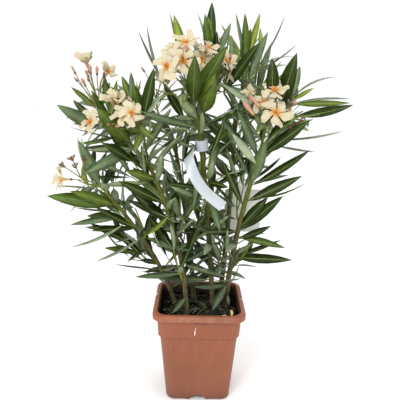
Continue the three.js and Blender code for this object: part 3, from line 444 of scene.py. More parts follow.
# Buds that show: foot, the way each points, and size
BUDS = {
    "foliage_right_bloom": [
        ((0.095, -0.104, 0.634), (-0.68, -0.1, 0.72), 2.0),
        ((0.106, -0.106, 0.647), (-0.67, -0.1, 0.74), 1.6),
        ((0.156, -0.092, 0.638), (0.85, -0.2, 0.5), 1.0),
    ],
    "foliage_right_outer": [
        ((0.170, -0.080, 0.652), (0.58, -0.2, 0.8), 1.05),
        ((0.168, -0.072, 0.650), (0.45, -0.1, 0.88), 0.7),
    ],
    "foliage_left_top_bloom": [
        ((-0.276, 0.052, 0.706), (-0.4, -0.2, 0.9), 1.1),
        ((-0.240, 0.040, 0.706), (-0.1, -0.25, 0.95), 1.35),
        ((-0.228, 0.044, 0.704), (0.05, -0.2, 0.97), 1.2),
        ((-0.250, 0.030, 0.680), (-0.35, -0.4, 0.85), 1.4),
        ((-0.268, 0.036, 0.690), (-0.6, -0.3, 0.75), 0.9),
    ],
    "foliage_top_bloom": [
        ((-0.034, -0.092, 0.744), (-0.05, -0.5, 0.86), 1.3),
        ((0.002, -0.074, 0.746), (0.1, -0.55, 0.83), 1.1),
    ],
}

# Heads that have no other buds than those placed here
BUDS_ALL_PLACED = ("foliage_left_low_bloom", "foliage_right_bloom")

# Ends of the dried flower stalks that have dropped their blossom
SPENT = {
    "foliage_left_low_bloom": [
        (-0.272, -0.078, 0.523), (-0.257, -0.074, 0.535), (-0.249, -0.082, 0.522), (-0.230, -0.096, 0.535),
    ],
    "foliage_right_bloom": [(0.160, -0.095, 0.614), (0.172, -0.095, 0.619), (0.183, -0.095, 0.625)],
}
CYME_HEIGHT = 0.040
CYME_SPREAD = 0.040
CYME_LIFT = 0.4
STALK_ROOTS = (0.1, 1.0)
CYMES_FROM_BOUGHS = {"foliage_top_bloom": "bough_top_front"}
STALK_RADII = (0.0013, 0.0010)
TUBE_LENGTH = 0.020
SPENT_STUBS = 4
BUD_LENGTH = 0.017

# Blank labels: a strip closed round the centre stem under its fork, and a hang card on the rear right stem
LABEL_THICKNESS = 0.0004
STRIP_WIDTH = 0.022
STRIP_LOOP = 0.013
STRIP_PLACE = 0.955
STRIP_ROUTE = (
    (-0.027, -0.072, 0.546), (-0.015, -0.088, 0.512), (0.008, -0.100, 0.482), (0.042, -0.112, 0.456),
)
STRIP_FACING = ((-1, -0.3, 0), (0.1, -1, 0.35))
STRIP_OUT = (0, -1, 0)
LOOP_STEPS = 40
ARC_STEPS = 8
HOLE_STEPS = 20
RIBBON_STEPS = 40
RIBBON_CURL = 0.0012
PATCH_STEPS = range(16, 21)
CARD_WIDTH = 0.086
CARD_HEIGHT = 0.104
CARD_CORNER = 0.006
CARD_TAB = 0.013
CARD_HOLE = 0.003
CARD_HOLE_RISE = 0.004
CARD_PLACE = (0.100, 0.085, 0.452)
CARD_STRAP = 0.007
CARD_LOOP = 0.008
CARD_LOOP_PLACE = 0.7
CARD_OUT = (1, 0.4, 0)
STRAP_FACING = ((1, 0, 0), (1, -0.5, 0))
CARD_ROOM = 0.016
CARD_FRONT = Vector((0, -0.02, 0))
CARD_COLUMNS = 7
CARD_ROWS = 8
CARD_COVERED_COLUMNS = 2
LOOP_SPOTS = 12
STRIP_SPOTS = 4
CARD_MARGIN = 0.008
CARD_TEST_STEPS = 20


def lerp(a, b, share):
    return a + (b - a) * share


def swing(first, second, turn):
    """A direction turned from the first towards the second, which stands square to it, in radians."""
    return first * math.cos(turn) + second * math.sin(turn)


def linear(code):
    """Linear RGBA of an sRGB hex colour."""
    channels = [int(code[i:i + 2], 16) / 255 for i in (1, 3, 5)]
    return [c / 12.92 if c <= 0.04045 else ((c + 0.055) / 1.055) ** 2.4 for c in channels] + [1.0]


class Draw:
    """Repeatable random numbers between two limits."""

    def __init__(self, seed):
        self.state = seed

    def __call__(self, low, high):
        self.state = (self.state * 1664525 + 1013904223) % 4294967296
        return low + (high - low) * self.state / 4294967296


def camera_axes():
    """Right, up and ahead of the camera."""
    yaw, pitch, roll = (math.radians(a) for a in (CAMERA_YAW, CAMERA_PITCH, CAMERA_ROLL))
    ahead = Vector((math.sin(yaw) * math.cos(pitch), math.cos(yaw) * math.cos(pitch), -math.sin(pitch)))
    level = Vector((math.cos(yaw), -math.sin(yaw), 0))
    upright = level.cross(ahead)
    up = upright * math.cos(roll) - level * math.sin(roll)
    return swing(level, upright, roll), up, ahead


CAMERA_AXES = camera_axes()
FOCAL_PIXELS = CAMERA_LENS / SENSOR_WIDTH * PICTURE_WIDTH


def picture_ray(x, y):
    """Direction from the camera through a place in the picture."""
    right, up, ahead = CAMERA_AXES
    across_picture = (x - PICTURE_WIDTH / 2) / FOCAL_PIXELS
    down_picture = (y - PICTURE_WIDTH / 2) / FOCAL_PIXELS
    return (ahead + right * across_picture - up * down_picture).normalized()


def picture_place(point):
    """Where a point shows in the picture, in pixels."""
    right, up, ahead = CAMERA_AXES
    reach = Vector(point) - Vector(CAMERA_PLACE)
    scale = FOCAL_PIXELS / reach.dot(ahead)
    return PICTURE_WIDTH / 2 + reach.dot(right) * scale, PICTURE_WIDTH / 2 - reach.dot(up) * scale


def picture_depth(point):
    """How far a point is from the camera, straight ahead."""
    return (Vector(point) - Vector(CAMERA_PLACE)).dot(CAMERA_AXES[2])


def in_outline(x, y):
    """Whether a place in the picture lies within the crown's outline."""
    inside = False
    for (ax, ay), (bx, by) in zip(PICTURE_OUTLINE, PICTURE_OUTLINE[1:] + PICTURE_OUTLINE[:1]):
        if (ay > y) != (by > y) and x < ax + (bx - ax) * (y - ay) / (by - ay):
            inside = not inside
    return inside


def in_gap(x, y):
    return any(math.hypot(x - gx, y - gy) < radius for gx, gy, radius in PICTURE_GAPS)


def across(direction, guide):
    """A unit vector across direction, as near as it can be to guide."""
    return (guide - direction * guide.dot(direction)).normalized()


def any_across(direction):
    """A unit vector across direction that leans on the axis that direction follows least."""
    sizes = [abs(x) for x in direction]
    least = sizes.index(min(sizes))
    return across(direction, Vector([1.0 if axis == least else 0.0 for axis in range(3)]))


class Limb:
    """A bent tapering line, with a frame that is carried along it without twist."""

    def __init__(self, start, control, end, radii, flare=0.0):
        self.ends = [Vector(start), Vector(control), Vector(end)]
        self.radii = radii
        self.flare = flare
        marks = self.marks(LENGTH_STEPS)
        self.length = sum((b - a).length for a, b in zip(marks, marks[1:]))
        self.first_side = any_across(self.tangent(0.0))

    def point(self, t):
        start, control, end = self.ends
        return start * (1 - t) ** 2 + control * (2 * t * (1 - t)) + end * t * t

    def marks(self, steps=LIMB_STEPS, first=0.0):
        """Evenly spaced points from a first place to the end."""
        return [self.point(lerp(first, 1.0, i / steps)) for i in range(steps + 1)]

    def tangent(self, t):
        start, control, end = self.ends
        return ((control - start) * (1 - t) + (end - control) * t).normalized()

    def radius(self, t):
        swell = 1 + self.flare * math.exp(-max(t, 0) * self.length / FLARE_FADE)
        return lerp(*self.radii, t) * swell

    def frame(self, t):
        tangent = self.tangent(t)
        side = across(tangent, self.first_side)
        return tangent, side, tangent.cross(side)

    def splay(self, t, turn, angle):
        """A direction that leaves the limb at an angle to it, turned round it, in degrees."""
        tangent, side, front = self.frame(t)
        return swing(tangent, swing(side, front, math.radians(turn)), math.radians(angle))


def grow_stems():
    grown = {}
    for name, (foot, tip, spread, rise, radii) in STEMS.items():
        start = Vector((*foot, SOIL_TOP + GAP))
        end = Vector(tip)
        control = Vector((
            lerp(start.x, end.x, spread),
            lerp(start.y, end.y, spread),
            lerp(start.z, end.z, rise),
        ))
        grown[name] = Limb(start, control, end, radii, FLARE)
    return grown


def starts_on_tip(parent, tips, radius):
    """Where several limbs grow from one tip, each starts beside the others on the tip's end."""
    middle = sum(tips, Vector()) / len(tips)
    tangent, side, front = parent.frame(1.0)
    angles = [math.atan2((tip - middle).dot(front), (tip - middle).dot(side)) for tip in tips]
    order = sorted(range(len(tips)), key=lambda i: angles[i])
    offset = radius * APART_ON_TIP / math.sin(math.pi / len(tips)) if len(tips) > 1 else 0.0
    starts = [None] * len(tips)
    for place, i in enumerate(order):
        angle = angles[order[0]] + 2 * math.pi * place / len(tips)
        starts[i] = parent.point(1.0) + tangent * GAP + swing(side, front, angle) * offset
    return starts


def grow_on_tips(specs, limbs, radius_on, end_share):
    grown = {}
    for on in dict.fromkeys(spec[0] for spec in specs.values()):
        parent = limbs[on]
        names = [name for name, spec in specs.items() if spec[0] == on]
        tips = [Vector(specs[name][1]) for name in names]
        radius = radius_on(parent, len(names))
        for name, tip, start in zip(names, tips, starts_on_tip(parent, tips, radius)):
            reach = (tip - start).length * STRAIGHT_START
            control = start + parent.tangent(1.0) * reach
            grown[name] = Limb(start, control, tip, (radius, radius * end_share))
    return grown


def grow_side_shoots(stems):
    grown = {}
    for name, (count, first, last, bearing) in SIDE_SHOOTS.items():
        for k in range(count):
            t = lerp(first, last, k / (count - 1))
            turn = math.radians(bearing + GOLDEN_TURN * k)
            tangent = stems[name].tangent(t)
            out = across(tangent, Vector((math.cos(turn), math.sin(turn), 0)))
            start = stems[name].point(t) + out * (stems[name].radius(t) + GAP)
            end = start + out * SIDE_OUT + tangent * SIDE_UP
            limb = Limb(start, start + out * SIDE_ELBOW, end, (TWIG_RADIUS, TWIG_TIP_RADIUS))
            grown[f"{name.replace('stem', 'foliage')}_side_{k + 1}"] = limb
    return grown


def grow_forks(main, places, draw):
    """Forks that leave a shoot's own stem to alternate sides."""
    forks = []
    first_turn = draw(0, 360)
    for k, place in enumerate(places):
        turn = first_turn + 180 * k + draw(*FORK_TURNS)
        length = FORK_LENGTH * draw(0.85, 1.15)
        direction = main.splay(place, turn, FORK_ANGLE + draw(*FORK_LEANS))
        start = main.point(place)
        end = start + direction * length
        end.z += FORK_LIFT
        radii = [r * FORK_RADIUS_SHARE for r in (lerp(*main.radii, place), TWIG_TIP_RADIUS)]
        forks.append(Limb(start, start + direction * length / 2, end, radii))
    return forks


class Room:
    """Spots that are taken, sorted into cells so that the near ones are found quickly."""

    def __init__(self, cell):
        self.cell = cell
        self.spots = {}

    def key(self, point):
        return tuple(math.floor(x / self.cell) for x in point)

    def take(self, points, gap):
        for point in points:
            self.spots.setdefault(self.key(point), []).append((Vector(point), gap))

    def is_free(self, points):
        for point in points:
            ranges = [range(i - 1, i + 2) for i in self.key(point)]
            for key in itertools.product(*ranges):
                if any((spot - point).length < gap for spot, gap in self.spots.get(key, ())):
                    return False
        return True


class Shown:
    """Spots in the picture that no later leaf may cover from the front."""

    def __init__(self):
        self.spots = []

    def keep(self, points, radius):
        self.spots += [(*picture_place(p), picture_depth(p), radius) for p in points]

    def is_covered(self, points):
        places = np.array([(*picture_place(p), picture_depth(p)) for p in points])
        spots = np.array(self.spots)
        apart = np.hypot(places[:, None, 0] - spots[:, 0], places[:, None, 1] - spots[:, 1])
        nearer = places[:, None, 2] < spots[:, 2] - COVER_DEPTH
        return bool(np.any((apart < spots[:, 3]) & nearer))


class Leaf:
    """One leaf: where it starts, its frame, its size, and how it arches, folds and twists."""

    def __init__(self, root, direction, guide, length, width, tint, arch=0.3, fold=0.25, twist=0.0):
        self.root = root
        self.direction = direction.normalized()
        self.up = across(self.direction, guide)
        self.side = self.direction.cross(self.up)
        self.length = length
        self.width = width
        self.tint = tint
        self.arch = arch if abs(arch) > 0.01 else 0.01
        self.fold = fold
        self.twist = twist

    def spine(self, share):
        """Point, side and upward face at a share of the length: the leaf arches away from its upper face."""
        bend = self.arch * share
        along = self.length * math.sin(bend) / self.arch
        drop = self.length * (1 - math.cos(bend)) / self.arch
        face = swing(self.up, self.direction, bend)
        turn = self.twist * share
        point = self.root + self.direction * along - self.up * drop
        return point, swing(self.side, face, turn), face * math.cos(turn) - self.side * math.sin(turn)

    def marks(self):
        """Points down the middle and near both edges, from just past the leaf stalk."""
        points = []
        for i in range(2, MARK_STEPS + 1):
            share = i / MARK_STEPS
            point, side, _ = self.spine(share)
            half = MARK_REACH * self.width * math.sin(math.pi * min(share, 0.96)) ** 0.7
            points += [point, point - side * half, point + side * half]
        return points


def leaf_between(root, tip, face, width, tint, arch, fold=0.25, twist=0.0):
    """A leaf from root to tip that faces the given way at its middle, and arches away from its face."""
    chord = tip - root
    along = chord.normalized()
    up = across(along, face)
    half = arch / 2 if abs(arch) > 0.01 else 0.005
    guide = up * math.cos(half) - along * math.sin(half)
    length = chord.length * half / math.sin(half)
    return Leaf(root, swing(along, up, half), guide, length, width, tint, 2 * half, fold, twist)


def inside_crown(point):
    over_pot = point.z > RIM_TOP + RIM_MARGIN
    mouth = RIM_WIDTH / 2 - RIM_FLANGE - MOUTH_MARGIN
    in_mouth = max(abs(point.x), abs(point.y)) < mouth and point.z > SOIL_TOP + MOUTH_MARGIN
    in_reach = abs(point.x) < CROWN_SIDE and abs(point.y) < CROWN_FRONT and point.z < CROWN_TOP
    return (over_pot or in_mouth) and in_reach


def misses_card(leaf):
    """Whether a leaf stays clear of the hang card's plate."""
    middle, plane, top = CARD_PLACE
    spots = [leaf.spine(i / CARD_TEST_STEPS)[0] for i in range(CARD_TEST_STEPS + 1)]
    for a, b in zip(spots, spots[1:]):
        beside = abs(a.x - middle) > CARD_WIDTH / 2 + CARD_MARGIN
        past = a.z > top + CARD_MARGIN or a.z < top - CARD_HEIGHT - CARD_MARGIN
        if (a.y > plane) != (b.y > plane) and not beside and not past:
            return False
    return True


def shows_well(point):
    """Whether a point falls within the crown's outline in the picture, and clear of its gaps."""
    x, y = picture_place(point)
    return in_outline(x, y) and not in_gap(x, y)


# Colours of the leaves, and how often the first five are dealt out low in the crown and at its top; the dark
# tint's larger share low down is partly painted shade
# The pale tint is a painted sheen: leaves lightened as if they caught the light
TINTS = ("dark", "green", "blue", "olive", "pale", "young", "deep")
SHADED_LOW_TINT_SHARES = (0.62, 0.70, 0.88, 0.92, 1.0)
TOP_TINT_SHARES = (0.20, 0.46, 0.62, 0.80, 1.0)
TINT_HEIGHTS = (0.34, 0.66)


def deal_tint(draw, height):
    """A tint for a leaf or spray: dark and blue-green low in the crown, partly as painted shade, green and
    olive towards the top.
    """
    low, top = TINT_HEIGHTS
    rise = min(1.0, max(0.0, (height - low) / (top - low)))
    roll = draw(0, 1)
    shares = [lerp(a, b, rise) for a, b in zip(SHADED_LOW_TINT_SHARES, TOP_TINT_SHARES)]
    return next(tint for tint, share in zip(TINTS, shares) if roll <= share or share == shares[-1])


class Plant:
    """Everything that the rule grows: limbs, twigs, leaves and flower heads."""

    def __init__(self, leaf_length, leaf_share, whorl_step):
        self.leaf_length = leaf_length
        self.leaf_share = leaf_share
        self.stems = grow_stems()
        self.boughs = grow_on_tips(BOUGHS, self.stems, self.bough_radius, BOUGH_TAPER)
        limbs = {**self.stems, **self.boughs}
        taper = TWIG_TIP_RADIUS / TWIG_RADIUS
        self.shoots = grow_on_tips(SHOOTS, limbs, lambda parent, count: TWIG_RADIUS, taper)
        self.side_shoots = grow_side_shoots(self.stems)
        self.twigs = []
        self.leaves = []
        self.heads = []
        self.room = Room(ROOM_CELL)
        self.shown = Shown()
        masses = {**self.shoots, **self.side_shoots}
        for limb in [*limbs.values(), *masses.values()]:
            self.room.take(limb.marks(), limb.radii[0] + LIMB_ROOM)
        self.hold_room_for_labels()
        draws = {name: Draw(FIRST_SEED + i) for i, name in enumerate(masses)}
        for name, main in masses.items():
            places = FORK_PLACES if name in SHOOTS and SHOOTS[name][3] else SIDE_FORK_PLACES
            forks = grow_forks(main, places, draws[name])
            main.forks = [fork for fork in forks if inside_crown(fork.point(1.0))]
            self.twigs += [main, *main.forks]
        for name, main in self.shoots.items():
            self.grow_blossom(name, main, draws[name])
        self.place_picture_leaves([*limbs.values(), *self.twigs])
        for name, main in masses.items():
            self.grow_mass(name, main, whorl_step, draws[name])
        self.grow_limb_leaves()

    @staticmethod
    def bough_radius(parent, count):
        return parent.radii[1] * (CROWDED_BOUGH_SHARE if count > 2 else BOUGH_SHARE)

    def hold_room_for_labels(self):
        """The labels show clear of the leaves, but for the left part of the hang card."""
        strip = strip_route(self.stems["stem_centre"])
        centre, axis, _ = label_loop(self.stems["stem_centre"], STRIP_PLACE, STRIP_LOOP, STRIP_OUT)
        self.shown.keep([centre + out * STRIP_LOOP for out in spokes(axis, LOOP_SPOTS)], LABEL_COVER)
        for a, b in zip(strip, strip[1:]):
            for i in range(STRIP_SPOTS):
                point = a.lerp(b, i / STRIP_SPOTS)
                self.room.take([point], STRIP_ROOM)
                self.shown.keep([point], LABEL_COVER)
        for i, j in itertools.product(range(CARD_COLUMNS), range(CARD_ROWS)):
            x = CARD_PLACE[0] + CARD_WIDTH * (i / (CARD_COLUMNS - 1) - 0.5)
            z = CARD_PLACE[2] - CARD_HEIGHT * j / (CARD_ROWS - 1)
            spot = Vector((x, CARD_PLACE[1], z))
            self.room.take([spot, spot + CARD_FRONT], CARD_ROOM)
            if i >= CARD_COVERED_COLUMNS:
                self.shown.keep([spot], LABEL_COVER)

    def grow_blossom(self, name, main, draw):
        """Listed open flowers, then buds by the cyme rule, and what is left of dropped blossom."""
        tip = main.point(1.0)
        cyme = self.boughs.get(CYMES_FROM_BOUGHS.get(name), main)
        tangent, side, front = main.frame(1.0)
        for place, facing, size, opening in FLOWERS.get(name, ()):
            place = Vector(place)
            facing = Vector(facing).normalized()
            self.heads.append(("flower", cyme.point(draw(*STALK_ROOTS)), place, facing, size, opening))
            middle = place + facing * FLOWER_DISC_LIFT
            disc = [middle + out * FLOWER_DISC * size for out in spokes(facing, DISC_SPOTS)]
            self.room.take([place, place + facing * FLOWER_FRONT, *disc], FLOWER_ROOM)
            self.shown.keep([place, *disc], FLOWER_COVER)
        for foot, facing, size in BUDS.get(name, ()):
            facing = Vector(facing).normalized()
            self.heads.append(("bud", cyme.point(draw(*STALK_ROOTS)), Vector(foot), facing, size, 0.0))
            self.room.take([Vector(foot) + facing * BUD_LENGTH * size / 2], PLACED_BUD_ROOM)
        flowers, buds = SHOOTS[name][2:]
        total = flowers if name in BUDS_ALL_PLACED else flowers + buds
        for k in range(total):
            turn = math.radians(GOLDEN_TURN * k + draw(-12, 12))
            spread = CYME_SPREAD * math.sqrt((k + 0.5) / total) * draw(0.85, 1.1)
            height = CYME_HEIGHT * draw(0.7, 1.25)
            end = tip + tangent * height * (1 - CYME_LIFT) + Vector((0, 0, height * CYME_LIFT))
            end += swing(side, front, turn) * spread
            size = draw(0.8, 1.15)
            if k >= flowers + len(BUDS.get(name, ())):
                facing = (end - tip).normalized()
                self.heads.append(("bud", cyme.point(draw(*STALK_ROOTS)), end, facing, size, 0.0))
                self.room.take([end + facing * BUD_LENGTH * size / 2], BUD_ROOM)
        for end in SPENT.get(name, ()):
            facing = (Vector(end) - tip).normalized()
            self.heads.append(("spent", tip, Vector(end), facing, 1.0, 0.0))

    def place_picture_leaves(self, lines):
        """Leaves that the photograph shows: each starts on the limb that its foot is seen on."""
        marks = np.array([mark for line in lines for mark in line.marks(first=LOWEST_FOOT)])
        camera = Vector(CAMERA_PLACE)
        away = marks - np.array(camera)
        draw = Draw(FIRST_SEED - 2)
        for foot, end, length, width, lean, roll, arch, tint in PICTURE_LEAVES:
            ray = np.array(picture_ray(*foot))
            depth = away @ ray
            miss = np.linalg.norm(away - depth[:, None] * ray, axis=1)
            root = Vector(marks[int(np.argmin(miss + DEPTH_COST * depth))])
            aim = picture_ray(*end)
            reach = root - camera
            middle = reach.dot(aim)
            spare = max(0.0, length ** 2 - (reach.length ** 2 - middle ** 2))
            tip = camera + aim * (middle + lean * math.sqrt(spare))
            chord = (tip - root).normalized()
            to_camera = across(chord, camera - (root + tip) / 2)
            beside = chord.cross(to_camera)
            beside = beside if beside.z >= 0 else -beside
            face = swing(to_camera, beside, math.radians(roll))
            fold = draw(0.1, 0.4)
            leaf = leaf_between(root, tip, face, width, tint, math.radians(arch), fold, draw(-0.2, 0.2))
            self.room.take(leaf.marks(), LEAF_GAP)
            self.shown.keep([leaf.spine(i / COVER_STEPS)[0] for i in range(3, COVER_STEPS + 1)], LEAF_COVER)
            self.leaves.append(leaf)

    def place_leaf(self, line, t, turn, angle, length, tint, draw, arches=LEAF_ARCHES):
        """Tries a leaf a few times, each shorter and turned further aside, and keeps one that fits."""
        for attempt in range(LEAF_ATTEMPTS):
            aside = LEAF_ASIDE + ATTEMPT_ASIDE * attempt
            direction = line.splay(t, turn + draw(-aside, aside), angle + draw(*LEAF_LEANS))
            full = length * draw(*LEAF_LENGTHS) * ATTEMPT_SHRINK ** attempt
            petiole = math.radians(draw(-PETIOLE_TURN, PETIOLE_TURN))
            upward = across(direction, line.tangent(t))
            facing = swing(upward, direction.cross(upward), petiole)
            leaf = Leaf(
                line.point(t), direction, facing, full, full * self.leaf_share * draw(*LEAF_WIDTHS), tint,
                draw(*arches), draw(*LEAF_FOLDS), draw(*LEAF_TWISTS),
            )
            marks = leaf.marks()
            fits = all(inside_crown(p) and shows_well(p) for p in marks) and self.room.is_free(marks)
            if fits and misses_card(leaf) and not self.shown.is_covered(marks):
                self.room.take(marks, LEAF_GAP)
                self.leaves.append(leaf)
                return

    def grow_whorls(self, line, step, draw, start, angles, lengths, tints, kept=1.0):
        """Whorls up a line between a start height and its end."""
        count = max(1, round((line.length - start) / step))
        first_turn = draw(0, 360)
        for k in range(count + 1):
            share = k / count
            height = lerp(start, line.length - WHORL_END, share)
            for n in range(LEAVES_IN_WHORL):
                turn = first_turn + 360 / LEAVES_IN_WHORL * (k / 2 + n)
                t = (height + LEAF_STAGGER * n) / line.length
                tint = tints(share)
                if draw(0, 1) <= kept:
                    self.place_leaf(line, t, turn, lerp(*angles, share), lerp(*lengths, share), tint, draw)

    def grow_mass(self, name, main, whorl_step, draw):
        """The leaves of one shoot and its forks; shoots without blossom end in young leaves."""
        vegetative = name in SHOOTS and not SHOOTS[name][2] and not SHOOTS[name][3]
        for twig in (main, *main.forks):
            height = twig.point(0.5).z
            spray = deal_tint(draw, height)

            def tints(share):
                if vegetative and share > YOUNG_FROM:
                    return "young" if draw(0, 1) < YOUNG_SHARE else "green"
                return spray if draw(0, 1) < SPRAY_SHARE else deal_tint(draw, height)

            angles = (LEAF_BASE_ANGLE, LEAF_TIP_ANGLE)
            lengths = (self.leaf_length, self.leaf_length * TIP_LEAF_LENGTH)
            step = whorl_step if name in SHOOTS else whorl_step * SIDE_STEP
            self.grow_whorls(twig, step, draw, WHORL_START, angles, lengths, tints)
        if vegetative:
            for n in range(TUFT_LEAVES):
                length = self.leaf_length * draw(*TUFT_LENGTHS)
                turn = 360 / TUFT_LEAVES * n + draw(-20, 20)
                self.place_leaf(main, TUFT_PLACE, turn, TUFT_ANGLE, length, "young", draw, TUFT_ARCHES)

    def grow_limb_leaves(self):
        """Whorls that still stand on the boughs and up the stems, opener and older than the shoots' own."""
        draw = Draw(FIRST_SEED - 1)
        lengths = (self.leaf_length * OLD_LEAF_LENGTH, self.leaf_length)
        for limbs, step, start, angles in (
            (self.boughs, BOUGH_WHORL_STEP, BOUGH_WHORL_START, BOUGH_LEAF_ANGLES),
            (self.stems, STEM_WHORL_STEP, STEM_WHORL_START, STEM_LEAF_ANGLES),
        ):
            for limb in limbs.values():
                def tints(share):
                    return deal_tint(draw, limb.point(share).z)

                self.grow_whorls(limb, step, draw, start, angles, lengths, tints, OLD_LEAVES_KEPT)


def spokes(axis, count):
    """Unit vectors spread evenly round an axis."""
    side = any_across(axis)
    return [swing(side, axis.cross(side), 2 * math.pi * i / count) for i in range(count)]


@functools.lru_cache(maxsize=2)
def grown_plant(leaf_length, leaf_share, whorl_step):
    return Plant(leaf_length, leaf_share, whorl_step)


def plant_of(context):
    sizes = context.scene.oleander
    return grown_plant(sizes.leaf_length, sizes.leaf_share, sizes.whorl_step)


# Meshes from arrays
@functools.lru_cache
def sheet_faces(rows, columns):
    """Faces of a closed thin sheet: a top grid, then an underside that shares the top's rim."""
    top = np.arange(rows * columns).reshape(rows, columns)
    under = top.copy()
    inner = rows * columns + np.arange((rows - 2) * (columns - 2))
    under[1:-1, 1:-1] = inner.reshape(rows - 2, columns - 2)

    def quads(grid):
        corners = (grid[:-1, :-1], grid[:-1, 1:], grid[1:, 1:], grid[1:, :-1])
        return np.stack(corners, axis=-1).reshape(-1, 4)

    return np.concatenate([quads(top), quads(under)[:, ::-1]])


def sheet(grid, thickness, uvs=None):
    """Points, faces and UVs of a closed thin sheet: its top grid, and an underside straight behind it."""
    facing = np.cross(np.gradient(grid, axis=1), np.gradient(grid, axis=0))
    facing /= np.maximum(np.linalg.norm(facing, axis=-1, keepdims=True), 1e-12)
    inner = grid[1:-1, 1:-1] - facing[1:-1, 1:-1] * thickness
    points = np.concatenate([grid.reshape(-1, 3), inner.reshape(-1, 3)])
    if uvs is not None:
        uvs = np.concatenate([uvs.reshape(-1, 2), uvs[1:-1, 1:-1].reshape(-1, 2)])
    return points, sheet_faces(*grid.shape[:2]), uvs


def ring_faces(rings, sides, cap_start=True, cap_end=True):
    """Faces of a round body of rings, with flat caps."""
    faces = []
    for i in range(rings - 1):
        for j in range(sides):
            k = (j + 1) % sides
            faces.append((i * sides + j, i * sides + k, (i + 1) * sides + k, (i + 1) * sides + j))
    if cap_start:
        faces.append(tuple(range(sides))[::-1])
    if cap_end:
        faces.append(tuple(range((rings - 1) * sides, rings * sides)))
    return faces


class Batch:
    """Many small things gathered into the arrays of one joined piece."""

    def __init__(self):
        self.points = []
        self.faces = []
        self.slots = []
        self.uvs = []
        self.count = 0

    def add(self, points, faces, uvs=None, slots=0):
        """Adds points and faces; slots is one number, or one for each face."""
        self.points.append(np.asarray(points, dtype=float))
        self.faces += [tuple(int(i) + self.count for i in face) for face in faces]
        self.slots += [slots] * len(faces) if isinstance(slots, int) else list(slots)
        self.uvs.append(np.zeros((len(points), 2)) if uvs is None else np.asarray(uvs, dtype=float))
        self.count += len(points)

    def piece(self, name, materials, nodes, smooth_angle=None):
        """Makes the joined piece, which rides on the body and stands for the nodes."""
        mesh = bpy.data.meshes.new(name)
        mesh.from_pydata(np.concatenate(self.points), [], self.faces)
        for material in materials:
            mesh.materials.append(material)
        mesh.polygons.foreach_set("material_index", self.slots)
        corners = np.zeros(len(mesh.loops), dtype=np.int32)
        mesh.loops.foreach_get("vertex_index", corners)
        layer = mesh.uv_layers.new(name="UVMap")
        layer.data.foreach_set("uv", np.concatenate(self.uvs)[corners].ravel())
        mesh.polygons.foreach_set("use_smooth", [True] * len(mesh.polygons))
        mesh.update()
        made = bpy.data.objects.new(name, mesh)
        bpy.context.scene.collection.objects.link(made)
        finish_piece(made, nodes)
        if smooth_angle is not None:
            select_only(made)
            bpy.ops.object.shade_smooth_by_angle(angle=math.radians(smooth_angle))
        return made


def finish_piece(made, nodes=()):
    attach(made, "root")
    if nodes:
        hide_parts(*nodes)


def select_only(made):
    """Deselects everything else, because the frame's nodes come in selected."""
    for other in bpy.context.view_layer.objects:
        other.select_set(False)
    made.select_set(True)
    bpy.context.view_layer.objects.active = made


DOME_ANGLES = (0.5, 1.0, 1.4)


def tube(line, sides, step, relief=None, first=0.0):
    """Rings of points up a limb from a first place, with a round end, and their faces and UVs."""
    count = max(2, math.ceil(line.length * (1.0 - first) / step))
    places = [(lerp(first, 1.0, i / count), 1.0, 0.0) for i in range(count + 1)]
    dome = [(math.sin(a), math.cos(a)) for a in DOME_ANGLES]
    places += [(1.0, shrink, lift) for lift, shrink in dome]
    points = []
    uvs = []
    for t, shrink, lift in places:
        tangent, side, front = line.frame(t)
        radius = line.radius(t)
        centre = line.point(t) + tangent * radius * lift
        for j in range(sides):
            turn = 2 * math.pi * j / sides
            grown = radius * shrink * (relief(t * line.length, turn) if relief else 1.0)
            points.append(centre + swing(side, front, turn) * grown)
            uvs.append((j / sides, t * line.length))
    return points, ring_faces(len(places), sides), uvs


# Materials: colours are linear, and a share says how much of a colour covers, from 0 to 1
def feed(node, inputs):
    """Sets a node's inputs, by name or number, or links them to another node's output."""
    for key, value in inputs.items():
        if isinstance(value, bpy.types.NodeSocket):
            node.id_data.links.new(value, node.inputs[key])
        else:
            node.inputs[key].default_value = value


def add_node(tree, kind, inputs=None, out=0, **settings):
    """Adds a node with its settings and inputs, and gives one of its outputs, by name or number."""
    made = tree.nodes.new("ShaderNode" + kind)
    for key, value in settings.items():
        setattr(made, key, value)
    feed(made, inputs or {})
    return made.outputs[out]


def blank_material(name):
    material = bpy.data.materials.new(name)
    material.use_nodes = True
    tree = material.node_tree
    return material, tree, tree.nodes["Principled BSDF"]


def shade(colour, factor=1.0):
    """RGBA of a colour, made lighter or darker by a factor."""
    return tuple(min(1.0, c * factor) for c in colour[:3]) + (1.0,)


def lay_over(tree, base, *layers, blend="MIX"):
    """Lays colours over a base, one after another, each with the share of it that covers."""
    for share, colour in layers:
        inputs = {0: share, 6: base, 7: colour}
        base = add_node(tree, "Mix", inputs, 2, data_type="RGBA", blend_type=blend)
    return base


def mottle(tree, scale, detail=3.0, contrast=(0.35, 0.65), most=1.0, stretch=None):
    """Soft patches on the object's own coordinates, from 0 to most, drawn out where stretch is given."""
    place = add_node(tree, "TexCoord", out="Object")
    if stretch:
        place = add_node(tree, "Mapping", {"Vector": place, "Scale": stretch})
    cloud = add_node(tree, "TexNoise", {"Vector": place, "Scale": scale, "Detail": detail}, "Fac")
    low, high = contrast
    return add_node(tree, "MapRange", {"Value": cloud, "From Min": low, "From Max": high, "To Max": most})


def height_share(tree, low, high, most=1.0):
    """How far a place has come from one height to another, from 0 to most."""
    height = split_place(tree, "Object")[2]
    return add_node(tree, "MapRange", {"Value": height, "From Min": low, "From Max": high, "To Max": most})


def split_place(tree, kind):
    """The three parts of a place on the object's own coordinates or its UVs."""
    place = add_node(tree, "TexCoord", out=kind)
    return add_node(tree, "SeparateXYZ", {"Vector": place}).node.outputs


# Bark: brown up to the first height and green from the second, and how strongly it shines
OLD_BARK_HEIGHTS = (0.26, 0.56)
BARK_SHINE = 0.13
